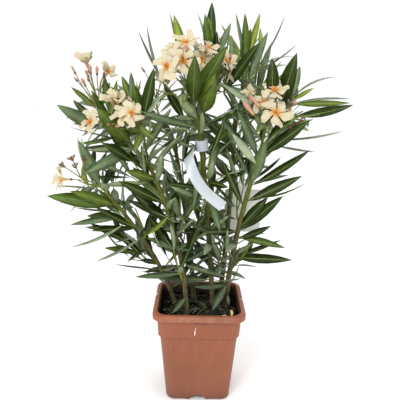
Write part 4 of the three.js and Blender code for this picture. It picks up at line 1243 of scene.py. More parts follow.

# Painted shade: leaves low in the crown are made darker and bluer, for the shade under the crown: heights,
# and the change in red, green and blue
SHADED_LEAF_HEIGHTS = (0.46, 0.26)
PAINTED_SHADE_LEAF_TONE = (0.58, 0.58, 0.64, 1.0)
VEIN_WAVES = 190.0
VEIN_SLANT = 0.12


def leaf_skin(name, colour, roughness, shine, veins=0.28):
    """Leathery leaf: a waxy satin skin with fine side veins that run out from the midrib.

    The real veins are 1.5 mm apart; they are drawn 4 mm apart, so that they show."""
    material, tree, shader = blank_material(name)
    u, v, _ = split_place(tree, "UV")
    out = add_node(tree, "Math", {0: u, 1: 0.5}, operation="SUBTRACT")
    out = add_node(tree, "Math", {0: out}, operation="ABSOLUTE")
    slant = add_node(tree, "Math", {0: out, 1: VEIN_SLANT}, operation="MULTIPLY")
    along = add_node(tree, "Math", {0: v, 1: slant}, operation="SUBTRACT")
    wave = add_node(tree, "Math", {0: along, 1: VEIN_WAVES}, operation="MULTIPLY")
    wave = add_node(tree, "Math", {0: wave}, operation="SINE")
    wave = add_node(tree, "MapRange", {"Value": wave, "From Min": 0.4, "From Max": 1.0})
    faint = add_node(tree, "Math", {0: wave, 1: veins}, operation="MULTIPLY")
    skin = lay_over(
        tree, shade(colour, 0.78), (mottle(tree, 55.0), shade(colour, 1.2)), (faint, shade(colour, 1.6)),
    )
    # Painted shade: darker and bluer low in the crown
    skin = lay_over(tree, skin, (height_share(tree, *SHADED_LEAF_HEIGHTS), PAINTED_SHADE_LEAF_TONE), blend="MULTIPLY")
    relief = add_node(tree, "Bump", {"Height": wave, "Distance": 0.0002, "Strength": 0.3})
    feed(shader, {
        "Base Color": skin, "Roughness": roughness, "Specular IOR Level": shine, "Normal": relief,
    })
    return material


def plain_finish(name, colour, roughness, spread=0.25, scale=120.0, relief=0.0, shine=0.3):
    """A plain finish with soft mottling: spread is how far the colour wanders, relief its depth in metres."""
    material, tree, shader = blank_material(name)
    patches = mottle(tree, scale)
    skin = lay_over(tree, shade(colour, 1 - spread), (patches, shade(colour, 1 + spread)))
    feed(shader, {"Base Color": skin, "Roughness": roughness, "Specular IOR Level": shine})
    if relief:
        relief = add_node(tree, "Bump", {"Height": patches, "Distance": relief, "Strength": 0.6})
        feed(shader, {"Normal": relief})
    return material


def young_bark(name, wood, green):
    """Oleander bark: smooth and olive green where it is young, brown-grey and speckled low down."""
    material, tree, shader = blank_material(name)
    patches = mottle(tree, 70.0)
    wander = {0: patches, 1: 0.3, 2: height_share(tree, *OLD_BARK_HEIGHTS)}
    age = add_node(tree, "Math", wander, operation="MULTIPLY_ADD", use_clamp=True)
    old = lay_over(tree, shade(wood, 0.7), (patches, shade(wood, 1.25)))
    new = lay_over(tree, shade(green, 0.8), (patches, shade(green, 1.2)))
    specks = mottle(tree, 900.0, 1.0, (0.62, 0.68), 0.45)
    skin = lay_over(tree, old, (age, new), (specks, shade(wood, 2.2)))
    relief = add_node(tree, "Bump", {"Height": patches, "Distance": 0.0006, "Strength": 0.5})
    feed(shader, {
        "Base Color": skin, "Roughness": 0.62, "Specular IOR Level": BARK_SHINE, "Normal": relief,
    })
    return material


def petal_skin(name, petal, edge, throat):
    """Petal: a velvety matt skin, apricot at the throat and pale cream towards its edge, faintly lined."""
    material, tree, shader = blank_material(name)
    u, v, _ = split_place(tree, "UV")
    ramp = add_node(tree, "ValToRGB", {"Fac": v})
    stops = ramp.node.color_ramp.elements
    stops.remove(stops[1])
    stops[0].color = shade(throat)
    for position, colour in ((0.07, throat), (0.18, petal), (0.5, edge)):
        stops.new(position).color = shade(colour)
    lines = add_node(tree, "Math", {0: u, 1: PETAL_LINES}, operation="MULTIPLY")
    lines = add_node(tree, "Math", {0: lines}, operation="SINE")
    lines = add_node(tree, "MapRange", {"Value": lines, "From Min": 0.2, "To Max": 0.05})
    skin = lay_over(tree, ramp, (lines, shade(throat)))
    feed(shader, {"Base Color": skin, "Roughness": 0.65, "Specular IOR Level": 0.2})
    return material


def bud_skin(name, tip, base):
    """Furled bud: salmon pink at its point and greenish cream at its foot."""
    material, tree, shader = blank_material(name)
    along = split_place(tree, "UV")[1]
    share = add_node(tree, "MapRange", {"Value": along, "From Min": 0.1, "From Max": 0.55})
    feed(shader, {"Base Color": lay_over(tree, shade(base), (share, shade(tip))), "Roughness": 0.55})
    return material


# Marks on the pot: middle, half sizes, and colour
POT_MARKS = (
    ((-0.0085, -0.090, 0.1735), (0.0011, 0.004, 0.0068), "#e6dccd"),
    ((-0.0072, -0.090, 0.1835), (0.0008, 0.004, 0.0030), "#d8c4b2"),
    ((-0.0035, -0.091, 0.1968), (0.0050, 0.004, 0.0016), "#5e2c22"),
    ((0.0110, -0.091, 0.1945), (0.0080, 0.004, 0.0016), "#7a3a30"),
    ((-0.0539, -0.083, 0.1293), (0.0014, 0.006, 0.0018), "#4a2218"),
    ((-0.0173, -0.083, 0.1322), (0.0020, 0.006, 0.0016), "#6a3626"),
    ((-0.0317, -0.100, 0.2040), (0.0022, 0.004, 0.0012), "#6a3a2a"),
    ((-0.098, 0.018, 0.2140), (0.004, 0.007, 0.0020), "#d9cbbd"),
    ((-0.098, -0.004, 0.2140), (0.004, 0.003, 0.0020), "#3a2018"),
    ((0.098, 0.006, 0.2140), (0.004, 0.003, 0.0022), "#2c1a14"),
    ((0.098, -0.006, 0.2140), (0.004, 0.004, 0.0018), "#e4d6ca"),
)

# How the pot's colour grows darker towards its foot, in red, green and blue
POT_FOOT_TONE = (0.80, 0.86, 0.94, 1.0)
DARKER_FOOT_HEIGHTS = (0.13, 0.02)
STREAK_STRETCH = (90.0, 90.0, 12.0)
SCUFF_STRETCH = (170.0, 170.0, 45.0)
WORN_REACH = (0.0965, 0.0995)
DARK_FOOT_BAND_HEIGHT = 0.022


def mark_at(tree, centre, size):
    """A small ragged mark round a place on the surface, from 0 to 1."""
    place = add_node(tree, "TexCoord", out="Object")
    moved = add_node(tree, "VectorMath", {0: place, 1: centre}, operation="SUBTRACT")
    scaled = add_node(tree, "VectorMath", {0: moved, 1: size}, operation="DIVIDE")
    far = add_node(tree, "VectorMath", {0: scaled}, "Value", operation="LENGTH")
    ragged = add_node(tree, "TexNoise", {"Vector": place, "Scale": 600.0, "Detail": 2.0}, "Fac")
    far = add_node(tree, "Math", {0: ragged, 1: 1.2, 2: far}, operation="MULTIPLY_ADD")
    return add_node(tree, "MapRange", {"Value": far, "From Min": 1.65, "From Max": 1.45})


def shaded_inner_wall_plastic(name, colour):
    """The wall inside the mouth: clean at the rim, and darkened below it with painted shade, for the shade
    inside the mouth.
    """
    material, tree, shader = blank_material(name)
    height = split_place(tree, "Object")[2]
    height = add_node(tree, "Math", {0: height, 1: mottle(tree, 90.0, most=0.012)}, operation="ADD")
    # Painted shade: darker from just below the rim top downwards, with a ragged edge
    painted_shade = add_node(tree, "MapRange", {
        "Value": height, "From Min": RIM_TOP + 0.004, "From Max": RIM_TOP - 0.008, "To Max": 0.95,
    })
    skin = lay_over(tree, shade(colour, 0.9), (painted_shade, linear("#1b120e")))
    feed(shader, {"Base Color": skin, "Roughness": 0.7})
    return material


def pot_plastic(name, colour):
    """Moulded polypropylene, coloured as terracotta: satin, dusty in patches and pale at worn edges."""
    material, tree, shader = blank_material(name)
    x, y, _ = split_place(tree, "Object")
    sizes = [add_node(tree, "Math", {0: part}, operation="ABSOLUTE") for part in (x, y)]
    reach = add_node(tree, "Math", {0: sizes[0], 1: sizes[1]}, operation="MAXIMUM")
    reach = add_node(tree, "MapRange", {
        "Value": reach, "From Min": WORN_REACH[0], "From Max": WORN_REACH[1], "To Max": 0.4,
    })
    worn = add_node(tree, "Math", {0: mottle(tree, 60.0, 4.0, (0.3, 0.8)), 1: reach}, operation="MULTIPLY")
    dust = mottle(tree, 9.0, 4.0, (0.4, 0.7))
    base = lay_over(
        tree, shade(colour, 0.89),
        (dust, shade(colour, 1.14)),
        (mottle(tree, 1.0, 2.0, (0.5, 0.75), 0.35, STREAK_STRETCH), shade(colour, 1.25)),
        (mottle(tree, 1.0, 1.0, (0.8, 0.83), 1.0, SCUFF_STRETCH), linear("#e2cbbb")),
        (mottle(tree, 260.0, 2.0, (0.74, 0.77)), linear("#5a3222")),
        (worn, linear("#b08a74")),
        # Darker brown towards the bottom edge
        (height_share(tree, DARK_FOOT_BAND_HEIGHT, 0.0, 0.6), linear("#5e3a28")),
    )
    # Darker towards the foot
    base = lay_over(tree, base, (height_share(tree, *DARKER_FOOT_HEIGHTS), POT_FOOT_TONE), blend="MULTIPLY")
    base = lay_over(tree, base, *((mark_at(tree, *mark), linear(code)) for *mark, code in POT_MARKS))
    place = add_node(tree, "TexCoord", out="Object")
    grain = add_node(tree, "TexNoise", {"Vector": place, "Scale": 700.0, "Detail": 2.0}, "Fac")
    relief = add_node(tree, "Bump", {"Height": grain, "Distance": 0.0002, "Strength": 0.25})
    rough = add_node(tree, "MapRange", {"Value": dust, "To Min": 0.46, "To Max": 0.62})
    feed(shader, {"Base Color": base, "Roughness": rough, "IOR": 1.49, "Normal": relief})
    return material


def film(name, colour, roughness):
    """Coated white plastic film: smooth, faintly glossy, and blank."""
    material, tree, shader = blank_material(name)
    skin = lay_over(tree, shade(colour, 0.96), (mottle(tree, 30.0), shade(colour)))
    feed(shader, {"Base Color": skin, "Roughness": roughness, "Coat Weight": 0.2})
    return material


# Stems and boughs: how far apart old whorls stand, how far each foot is sunk in what bears it, and seeds
STEM_NODE_STEP = 0.034
BOUGH_NODE_STEP = 0.024
TWIG_NODE_STEP = 0.022
STEM_ROOTED = 0.010
BOUGH_JOINED = 0.006
TWIG_JOINED = 0.005
BOUGH_SEED = 9
TWIG_SEED = 30

# Bark relief, as shares of the radius: the swelling and scar of a whorl, where and how wide, and the rest
SWELLING = 0.09
SWELLING_WIDTH = 0.09
SCAR = -0.07
SCAR_PLACE = 0.14
SCAR_WIDTH = 0.035
CORNERS = 0.025
WRINKLES = 0.045
LUMPS = 0.05


def bark_relief(seed, node_step):
    """How far the bark stands out: a swelling with a scar at each old whorl, and fine wrinkles."""
    shift = Vector((seed * 7.3, seed * 3.1, 0))

    def relief(height, turn):
        from_node = (height / node_step) % 1.0 - 0.5
        swelling = SWELLING * math.exp(-(from_node / SWELLING_WIDTH) ** 2)
        scar = SCAR * math.exp(-((from_node - SCAR_PLACE) / SCAR_WIDTH) ** 2)
        corner = CORNERS * math.cos(3 * turn)
        round_place = Vector((math.cos(turn), math.sin(turn), 0)) * 1.5
        wrinkle = WRINKLES * noise.noise(round_place + shift + Vector((0, 0, height * 160)))
        lump = LUMPS * noise.noise(round_place * 0.6 + shift + Vector((0, 0, height * 35)))
        return 1 + swelling + scar + corner + wrinkle + lump

    return relief


class OLEANDER_OT_stems(bpy.types.Operator):
    """Model the stems and boughs with the relief of their bark"""

    bl_idname = "oleander.stems"
    bl_label = "Stems and Boughs"

    def execute(self, context):
        colours = context.scene.oleander
        plant = plant_of(context)
        batch = Batch()
        for i, stem in enumerate(plant.stems.values()):
            batch.add(*tube(stem, 16, 0.003, bark_relief(i, STEM_NODE_STEP), -STEM_ROOTED / stem.length))
        for i, bough in enumerate(plant.boughs.values()):
            relief = bark_relief(i + BOUGH_SEED, BOUGH_NODE_STEP)
            batch.add(*tube(bough, 12, 0.0025, relief, -BOUGH_JOINED / bough.length))
        bark = young_bark("young oleander bark", colours.wood_colour, colours.green_wood_colour)
        batch.piece("stems_and_boughs", [bark], LIMB_NODES)
        return {"FINISHED"}


class OLEANDER_OT_twigs(bpy.types.Operator):
    """Model the green stems of the shoots, side shoots and forks"""

    bl_idname = "oleander.twigs"
    bl_label = "Twigs"

    def execute(self, context):
        plant = plant_of(context)
        batch = Batch()
        for i, twig in enumerate(plant.twigs):
            relief = bark_relief(i + TWIG_SEED, TWIG_NODE_STEP)
            batch.add(*tube(twig, 8, 0.003, relief, -TWIG_JOINED / twig.length))
        green = context.scene.oleander.green_wood_colour
        skin = plain_finish("green shoot skin", shade(green, 1.5), 0.5, 0.2, 90.0, 0.0003)
        batch.piece("twigs", [skin], FOLIAGE_NODES)
        return {"FINISHED"}


# Leaves
LEAF_COLUMNS = 4
RIB_MOST = 0.6


def leaf_mesh(leaf):
    """One leaf as a thin sheet: two blade halves and the midrib between them, folded into a shallow V."""
    grid = np.zeros((len(LEAF_STATIONS), LEAF_COLUMNS, 3))
    uvs = np.zeros((len(LEAF_STATIONS), LEAF_COLUMNS, 2))
    for i, (share, wide) in enumerate(zip(LEAF_STATIONS, LEAF_PROFILE)):
        point, side, face = leaf.spine(share)
        half = wide * leaf.width / 2
        rib = min(lerp(*RIB_HALF_WIDTHS, share), RIB_MOST * half)
        for j, reach in enumerate((-half, -rib, rib, half)):
            lift = (abs(reach) - rib) * leaf.fold
            grid[i, j] = point + side * reach + face * lift
            uvs[i, j] = (0.5 + 0.5 * reach / max(leaf.width / 2, 1e-6), share)
    return sheet(grid, LEAF_THICKNESS, uvs)


def leaf_slots(tint):
    """The material of each face of a leaf: blade, midrib and the two undersides."""
    young = tint == "young"
    rib = len(TINTS) + young
    under = len(TINTS) + 2 + young
    return [slot for blade in (TINTS.index(tint), under)
            for slot in (blade, rib, blade) * (len(LEAF_STATIONS) - 1)]


def leaf_materials(colours):
    blades = [
        leaf_skin("dark leaf", colours.dark_leaf_colour, 0.36, 0.14),
        leaf_skin("green leaf", colours.green_leaf_colour, 0.38, 0.16),
        leaf_skin("blue-green leaf", colours.blue_leaf_colour, 0.34, 0.34),
        leaf_skin("olive leaf", colours.olive_leaf_colour, 0.45, 0.16),
        # Painted sheen: lightened as if the leaf caught the light
        leaf_skin("pale leaf with painted sheen", colours.painted_sheen_leaf_colour, 0.34, 0.36, 0.2),
        leaf_skin("young leaf", colours.young_leaf_colour, 0.42, 0.2, 0.15),
        # The olive tint darkened as painted shade, for the broad leaves in front of the blossom
        leaf_skin("olive leaf with painted shade", colours.shaded_olive_leaf_colour, 0.42, 0.16),
    ]
    ribs = [
        plain_finish("pale midrib", colours.rib_colour, 0.5, 0.1),
        plain_finish("young midrib", shade(colours.young_leaf_colour, 1.5), 0.5, 0.1),
    ]
    unders = [
        leaf_skin("grey-green underside", colours.underside_colour, 0.6, 0.15, 0.2),
        leaf_skin("young underside", shade(colours.young_leaf_colour, 1.15), 0.55, 0.15, 0.15),
    ]
    return blades + ribs + unders


class OLEANDER_OT_leaves(bpy.types.Operator):
    """Model the leaves of every shoot, bough and stem as one joined piece"""

    bl_idname = "oleander.leaves"
    bl_label = "Leaves"

    def execute(self, context):
        batch = Batch()
        for leaf in plant_of(context).leaves:
            batch.add(*leaf_mesh(leaf), leaf_slots(leaf.tint))
        batch.piece("leaves", leaf_materials(context.scene.oleander), FOLIAGE_NODES)
        return {"FINISHED"}


# Blossom
PETALS = 5
PETAL_ROWS = (0.0, 0.16, 0.34, 0.52, 0.70, 0.87, 1.0)
PETAL_PROFILE = (0.28, 0.32, 0.50, 0.76, 1.0, 1.02, 0.62)
PETAL_COLUMNS = (1.0, 0.5, 0.0, -0.5, -1.0)
PETAL_TILTS = (72, 4)
PETAL_RADIUS = 0.029
PETAL_HALF_WIDTH = 0.0122
PETAL_SKEW = 0.005
PETAL_DROOP = 0.16
PETAL_RUFFLE = 0.003
PETAL_CUP = 0.0022
PETAL_THICKNESS = 0.0003
PETAL_LINES = 60.0
THROAT_RADIUS = 0.0036


def petal_mesh(radius, opening, turn, ruffle, breadth=1.0):
    """One petal on the flower's own axes: narrow at the throat, broad at its end, one corner drawn out."""
    tilt = math.radians(lerp(*PETAL_TILTS, opening))
    reach = radius - THROAT_RADIUS
    grid = np.zeros((len(PETAL_ROWS), len(PETAL_COLUMNS), 3))
    uvs = np.zeros((len(PETAL_ROWS), len(PETAL_COLUMNS), 2))
    for i, (share, wide) in enumerate(zip(PETAL_ROWS, PETAL_PROFILE)):
        half = wide * breadth * PETAL_HALF_WIDTH * radius / PETAL_RADIUS
        for j, hand in enumerate(PETAL_COLUMNS):
            along = reach * share * (1 - 0.13 * hand * hand + 0.12 * hand)
            lift = along * math.sin(tilt) - PETAL_DROOP * reach * share ** 3
            lift += share * (PETAL_RUFFLE * math.sin(3.2 * hand + ruffle) - PETAL_CUP * hand * hand)
            aside = hand * half + PETAL_SKEW * share * share
            grid[i, j] = (THROAT_RADIUS * 0.8 + along * math.cos(tilt), aside, lift)
            uvs[i, j] = (0.5 + 0.5 * hand, share)
    cos, sin = math.cos(turn), math.sin(turn)
    return sheet(grid @ np.array([[cos, sin, 0], [-sin, cos, 0], [0, 0, 1]]), PETAL_THICKNESS, uvs)


def placed(points, origin, facing, spin=0.0, size=1.0):
    """Points on the flower's own axes, carried to its place."""
    side = any_across(facing)
    turned = swing(side, facing.cross(side), spin)
    axes = np.array([turned, facing.cross(turned), facing])
    return np.asarray(points) * size @ axes + np.array(origin)


# Slots of the blossom's materials
PETAL, THROAT, TUBE, CALYX, STALK, BUD, DRY = range(7)

# Radii and heights up a flower's own axis: every other point of a zigzag ring follows its tips
CALYX_RINGS = ((0.0006, -0.0012), (0.0022, 0.0), (0.0019, 0.0035))
CALYX_TIPS = ((0.0006, -0.0012), (0.0022, 0.0), (0.0030, 0.0062))
TUBE_OUTSIDE = (
    (0.0013, -0.020), (0.0015, -0.013), (0.0026, -0.008), (THROAT_RADIUS, -0.001), (THROAT_RADIUS, 0.0008),
)
TUBE_INSIDE = ((THROAT_RADIUS - 0.0006, 0.0002), (0.0028, -0.003), (0.0006, -0.0045))
FRINGE_RINGS = ((0.0030, 0.0002), (0.0042, 0.0018), (0.0034, 0.0016), (0.0030, 0.0002))
FRINGE_TIPS = ((0.0030, 0.0002), (0.0060, 0.0046), (0.0034, 0.0016), (0.0030, 0.0002))
CUP_RINGS = ((0.0005, 0.0), (0.0018, 0.002), (0.0011, 0.005))
CUP_TIPS = ((0.0005, 0.0), (0.0018, 0.002), (0.0026, 0.0075))
BUD_RINGS = ((0.0011, 0.0), (0.0017, 0.12), (0.0021, 0.35), (0.0028, 0.6), (0.0020, 0.82), (0.0003, 1.0))
TUBE_SIDES = 10
FRINGE_SIDES = 20
CUP_SIDES = 6
BUD_SIDES = 7
STALK_BEND = 0.45


def add_turned(batch, seat, rings, sides, slots, tips=None, caps=(True, True)):
    """Adds a round body from its radii and heights; seat is its place, facing, spin and size."""
    points = []
    for ring, (radius, height) in enumerate(rings):
        for j in range(sides):
            turn = 2 * math.pi * j / sides
            reach, lift = (radius, height) if tips is None or j % 2 else tips[ring]
            points.append((reach * math.cos(turn), reach * math.sin(turn), lift))
    batch.add(placed(points, *seat), ring_faces(len(rings), sides, *caps), slots=slots)


def add_stalk(batch, base, end, facing, slot=STALK):
    """A bent stalk from the shoot's end to the foot of a flower or bud."""
    reach = (end - base).length
    batch.add(*tube(Limb(base, end - facing * reach * STALK_BEND, end, STALK_RADII), 5, reach / 7), slot)


def add_flower(batch, base, place, facing, size, opening, radius, draw):
    """Calyx, tube, fringed throat and five petals on a stalk."""
    spin = draw(0, 2 * math.pi)
    foot = place - facing * TUBE_LENGTH * size
    seat = (place, facing, spin, size)
    add_stalk(batch, base, foot, facing)
    add_turned(batch, (foot, facing, spin), CALYX_RINGS, TUBE_SIDES, CALYX, CALYX_TIPS)
    slots = [TUBE] * (TUBE_SIDES * (len(TUBE_OUTSIDE) - 1))
    slots += [THROAT] * (TUBE_SIDES * len(TUBE_INSIDE)) + [TUBE, THROAT]
    add_turned(batch, seat, TUBE_OUTSIDE + TUBE_INSIDE, TUBE_SIDES, slots)
    add_turned(batch, seat, FRINGE_RINGS, FRINGE_SIDES, THROAT, FRINGE_TIPS, (False, False))
    for n in range(PETALS):
        turn = 2 * math.pi * n / PETALS + draw(-0.14, 0.14)
        wide_open = min(1.0, max(0.0, opening + draw(-0.2, 0.16)))
        made = petal_mesh(radius * draw(0.86, 1.08), wide_open, turn, draw(0, 6), draw(0.84, 1.12))
        batch.add(placed(made[0], *seat), *made[1:], PETAL)


def add_bud(batch, base, end, facing, size, draw):
    """A furled pointed bud in its calyx."""
    add_stalk(batch, base, end, facing)
    add_turned(batch, (end, facing), CALYX_RINGS, TUBE_SIDES, CALYX, CALYX_TIPS)
    length = BUD_LENGTH * size * draw(0.75, 1.15)
    points = []
    uvs = []
    for width, share in BUD_RINGS:
        for j in range(BUD_SIDES):
            turn = 2 * math.pi * j / BUD_SIDES + share * 1.6
            reach = width * size * (1 + 0.12 * math.cos(2 * turn))
            points.append((reach * math.cos(turn), reach * math.sin(turn), share * length))
            uvs.append((j / BUD_SIDES, share))
    batch.add(placed(points, end, facing), ring_faces(len(BUD_RINGS), BUD_SIDES), uvs, BUD)


def add_spent(batch, base, end, facing, draw):
    """A fading stalk that branches into a few withered calyx stubs."""
    add_stalk(batch, base, end, facing)
    for out in spokes(facing, SPENT_STUBS):
        aim = (facing + out * draw(0.4, 0.9)).normalized()
        tip = end + aim * draw(0.004, 0.010)
        add_stalk(batch, end, tip, aim, DRY)
        add_turned(batch, (tip, aim), CUP_RINGS, CUP_SIDES, DRY, CUP_TIPS)


def blossom_materials(colours):
    return [
        petal_skin("cream petal", colours.petal_colour, colours.petal_edge_colour, colours.throat_colour),
        plain_finish("orange throat", colours.throat_colour, 0.6, 0.2, 300.0),
        plain_finish("apricot flower tube", colours.tube_colour, 0.6, 0.15, 200.0),
        plain_finish("red-brown calyx", colours.calyx_colour, 0.6, 0.3, 300.0),
        plain_finish("flower stalk", colours.stalk_colour, 0.6, 0.3, 120.0),
        bud_skin("salmon bud", colours.bud_colour, colours.tube_colour),
        plain_finish("dried stalk", colours.dry_colour, 0.85, 0.35, 250.0),
    ]


class OLEANDER_OT_blossom(bpy.types.Operator):
    """Model the open flowers, the buds and the dried stalks"""

    bl_idname = "oleander.blossom"
    bl_label = "Blossom"

    def execute(self, context):
        sizes = context.scene.oleander
        draw = Draw(5)
        batch = Batch()
        for kind, base, place, facing, size, opening in plant_of(context).heads:
            if kind == "flower":
                add_flower(batch, base, place, facing, size, opening, sizes.flower_radius, draw)
            elif kind == "bud":
                add_bud(batch, base, place, facing, size, draw)
            else:
                add_spent(batch, base, place, facing, draw)
        batch.piece("blossom", blossom_materials(sizes), FOLIAGE_NODES, 50)
        return {"FINISHED"}


# Pot
def rounded_square(width, height):
    """Starts a mesh with a flat rounded square, in edit mode with all of it selected."""
    bpy.ops.mesh.primitive_plane_add(size=width, location=(0, 0, height))
    made = bpy.context.active_object
    bpy.ops.object.transform_apply(location=True, rotation=False, scale=False)
    bpy.ops.object.mode_set(mode="EDIT")
    bpy.ops.mesh.bevel(offset=width / 2 * CORNER_SHARE, segments=CORNER_SEGMENTS, affect="VERTICES")
    return made


def carry_on(profile):
    """Extrudes the selected face through the widths and heights of a profile."""
    for (width, height), (next_width, next_height) in zip(profile, profile[1:]):
        bpy.ops.mesh.extrude_region_move(TRANSFORM_OT_translate={"value": (0, 0, next_height - height)})
        ratio = next_width / width
        bpy.ops.transform.resize(value=(ratio, ratio, 1), center_override=(0, 0, next_height))


def boolean(made, tools, operation):
    """Cuts tools out of a piece, or joins them to it, and removes them."""
    for tool in tools:
        select_only(made)
        modifier = made.modifiers.new(operation.lower(), "BOOLEAN")
        modifier.operation = operation
        modifier.object = tool
        modifier.solver = "EXACT"
        bpy.ops.object.modifier_apply(modifier=modifier.name)
        bpy.data.objects.remove(tool)


def foot_bar(width, height, inner_end, outer_end, bearing, sunk=0.0):
    """A bar from near the middle of the foot out to one side, sunk under it and flared below."""
    length = outer_end - inner_end
    bpy.ops.mesh.primitive_cube_add(size=1, location=((outer_end + inner_end) / 2, 0, (height - sunk) / 2))
    bar = bpy.context.active_object
    bar.scale = (length, width, height + sunk)
    bpy.ops.object.transform_apply(location=True, rotation=False, scale=True)
    select_only(bar)
    for vertex in bar.data.vertices:
        if vertex.co.z < height / 2:
            vertex.co.y *= 1 + 2 * CHANNEL_FLARE / width
    bevel = bar.modifiers.new("round", "BEVEL")
    bevel.width = CHANNEL_ROUND
    bevel.segments = 3
    bpy.ops.object.modifier_apply(modifier=bevel.name)
    bar.rotation_euler.z = math.radians(bearing)
    bpy.ops.object.transform_apply(location=False, rotation=True, scale=False)
    return bar


def drain_hole(bearing):
    turn = math.radians(bearing)
    place = (DRAIN_PLACE * math.cos(turn), DRAIN_PLACE * math.sin(turn), 0)
    bpy.ops.mesh.primitive_cylinder_add(vertices=24, radius=DRAIN_RADIUS, depth=0.06, location=place)
    bpy.ops.object.transform_apply(location=True, rotation=False, scale=False)
    return bpy.context.active_object


def pot_profile():
    """Widths and heights up the outside of the pot, over its rim and down the inside to the floor."""
    lip = RIM_ROUND * 0.4
    outside = [
        (BASE_WIDTH - 2 * BASE_CHAMFER, 0.0),
        (BASE_WIDTH - BASE_CHAMFER * 0.7, BASE_CHAMFER * 0.35),
        (BASE_WIDTH, BASE_CHAMFER),
        (BODY_WIDTH - 0.0002, COLLAR_FOOT - 0.002),
        (BODY_WIDTH, COLLAR_FOOT),
        (COLLAR_FOOT_WIDTH - 2 * lip, COLLAR_FOOT),
        (COLLAR_FOOT_WIDTH, COLLAR_FOOT + lip),
        (COLLAR_WIDTH, RIM_FOOT - lip),
        (COLLAR_WIDTH + 2 * lip, RIM_FOOT),
        (RIM_WIDTH - 2 * lip, RIM_FOOT),
        (RIM_WIDTH, RIM_FOOT + lip),
        (RIM_WIDTH, RIM_TOP - RIM_ROUND),
        (RIM_WIDTH - 0.9 * RIM_ROUND, RIM_TOP - 0.45 * RIM_ROUND),
        (RIM_WIDTH - 2 * RIM_ROUND, RIM_TOP),
    ]
    inner_rim = RIM_WIDTH - 2 * RIM_FLANGE
    inside = [
        (inner_rim + lip, RIM_TOP),
        (inner_rim, RIM_TOP - lip),
        (COLLAR_WIDTH - 2 * WALL, RIM_FOOT),
        (COLLAR_FOOT_WIDTH - 2 * WALL, COLLAR_FOOT + 2 * WALL),
        (BODY_WIDTH - 2 * WALL, COLLAR_FOOT + WALL),
        (BASE_WIDTH - 2 * WALL, BASE_CHAMFER + WALL),
        (BASE_WIDTH - 2 * BASE_CHAMFER, WALL),
    ]
    return outside + inside


class OLEANDER_OT_pot(bpy.types.Operator):
    """Model the square nursery pot, with its collar, rim, foot channels and drain holes"""

    bl_idname = "oleander.pot"
    bl_label = "Pot"

    def execute(self, context):
        profile = pot_profile()
        pot = rounded_square(*profile[0])
        carry_on(profile)
        bpy.ops.mesh.select_all(action="SELECT")
        bpy.ops.mesh.normals_make_consistent(inside=False)
        bpy.ops.object.mode_set(mode="OBJECT")
        pot.name = "pot_body"
        bearings = (0, 90, 180, 270)
        wall_middle = BASE_WIDTH / 2 - WALL / 2
        roof_width = CHANNEL_WIDTH + 2 * WALL
        roofs = [
            foot_bar(roof_width, CHANNEL_HEIGHT + WALL, CHANNEL_INNER_END - WALL, wall_middle, b)
            for b in bearings
        ]
        boolean(pot, roofs, "UNION")
        channels = [
            foot_bar(CHANNEL_WIDTH, CHANNEL_HEIGHT, CHANNEL_INNER_END, RIM_WIDTH / 2, b, CHANNEL_SUNK)
            for b in bearings
        ]
        boolean(pot, channels, "DIFFERENCE")
        boolean(pot, [drain_hole(b) for b in bearings], "DIFFERENCE")
        pot.data.materials.clear()
        colour = context.scene.oleander.pot_colour
        pot.data.materials.append(pot_plastic("moulded terracotta-coloured plastic", colour))
        pot.data.materials.append(shaded_inner_wall_plastic("inner pot wall with painted shade", colour))
        # The inside faces of the mouth, down to the compost, take the finish with painted shade
        for face in pot.data.polygons:
            if face.normal.xy.dot(face.center.xy) < 0 and face.center.z > SOIL_TOP - RIM_FLANGE:
                face.material_index = 1
        select_only(pot)
        bpy.ops.object.shade_smooth_by_angle(angle=math.radians(35))
        finish_piece(pot, ["pot"])
        return {"FINISHED"}


# Compost
SOIL_WIDTH = 0.1722
SOIL_ROUGHNESS = 0.0030
SOIL_RISE = 0.002
SOIL_RISE_RADIUS = 0.08
SOIL_SUNK = 0.0005
SOIL_STEPS = 84
SOIL_LIFT = 0.001

# Steps down the side of the compost block: how deep each goes, and how it is drawn in; the last is flattened
SOIL_SIDE = ((0.012, (1, 1, 1)), (0.016, (0.953, 0.953, 1)), (0.1, (0.85, 0.85, 0)))


def soil_height(x, y):
    """Height of the compost: clods, pits, and a slight rise towards the middle."""
    clods = noise.noise(Vector((x * 48, y * 48, 3.7))) + 0.55 * noise.noise(Vector((x * 120, y * 120, 9.1)))
    rising = SOIL_RISE * (1 - min(1.0, math.hypot(x, y) / SOIL_RISE_RADIUS))
    return SOIL_TOP + SOIL_ROUGHNESS * clods + rising - SOIL_SUNK


def into_rounded_square(x, y, width):
    """Moves a point that lies past a rounded corner in to the corner's arc."""
    radius = width / 2 * CORNER_SHARE
    centre = width / 2 - radius
    dx, dy = abs(x) - centre, abs(y) - centre
    reach = math.hypot(dx, dy)
    if dx > 0 and dy > 0 and reach > radius:
        dx, dy = dx * radius / reach, dy * radius / reach
        return math.copysign(centre + dx, x), math.copysign(centre + dy, y)
    return x, y


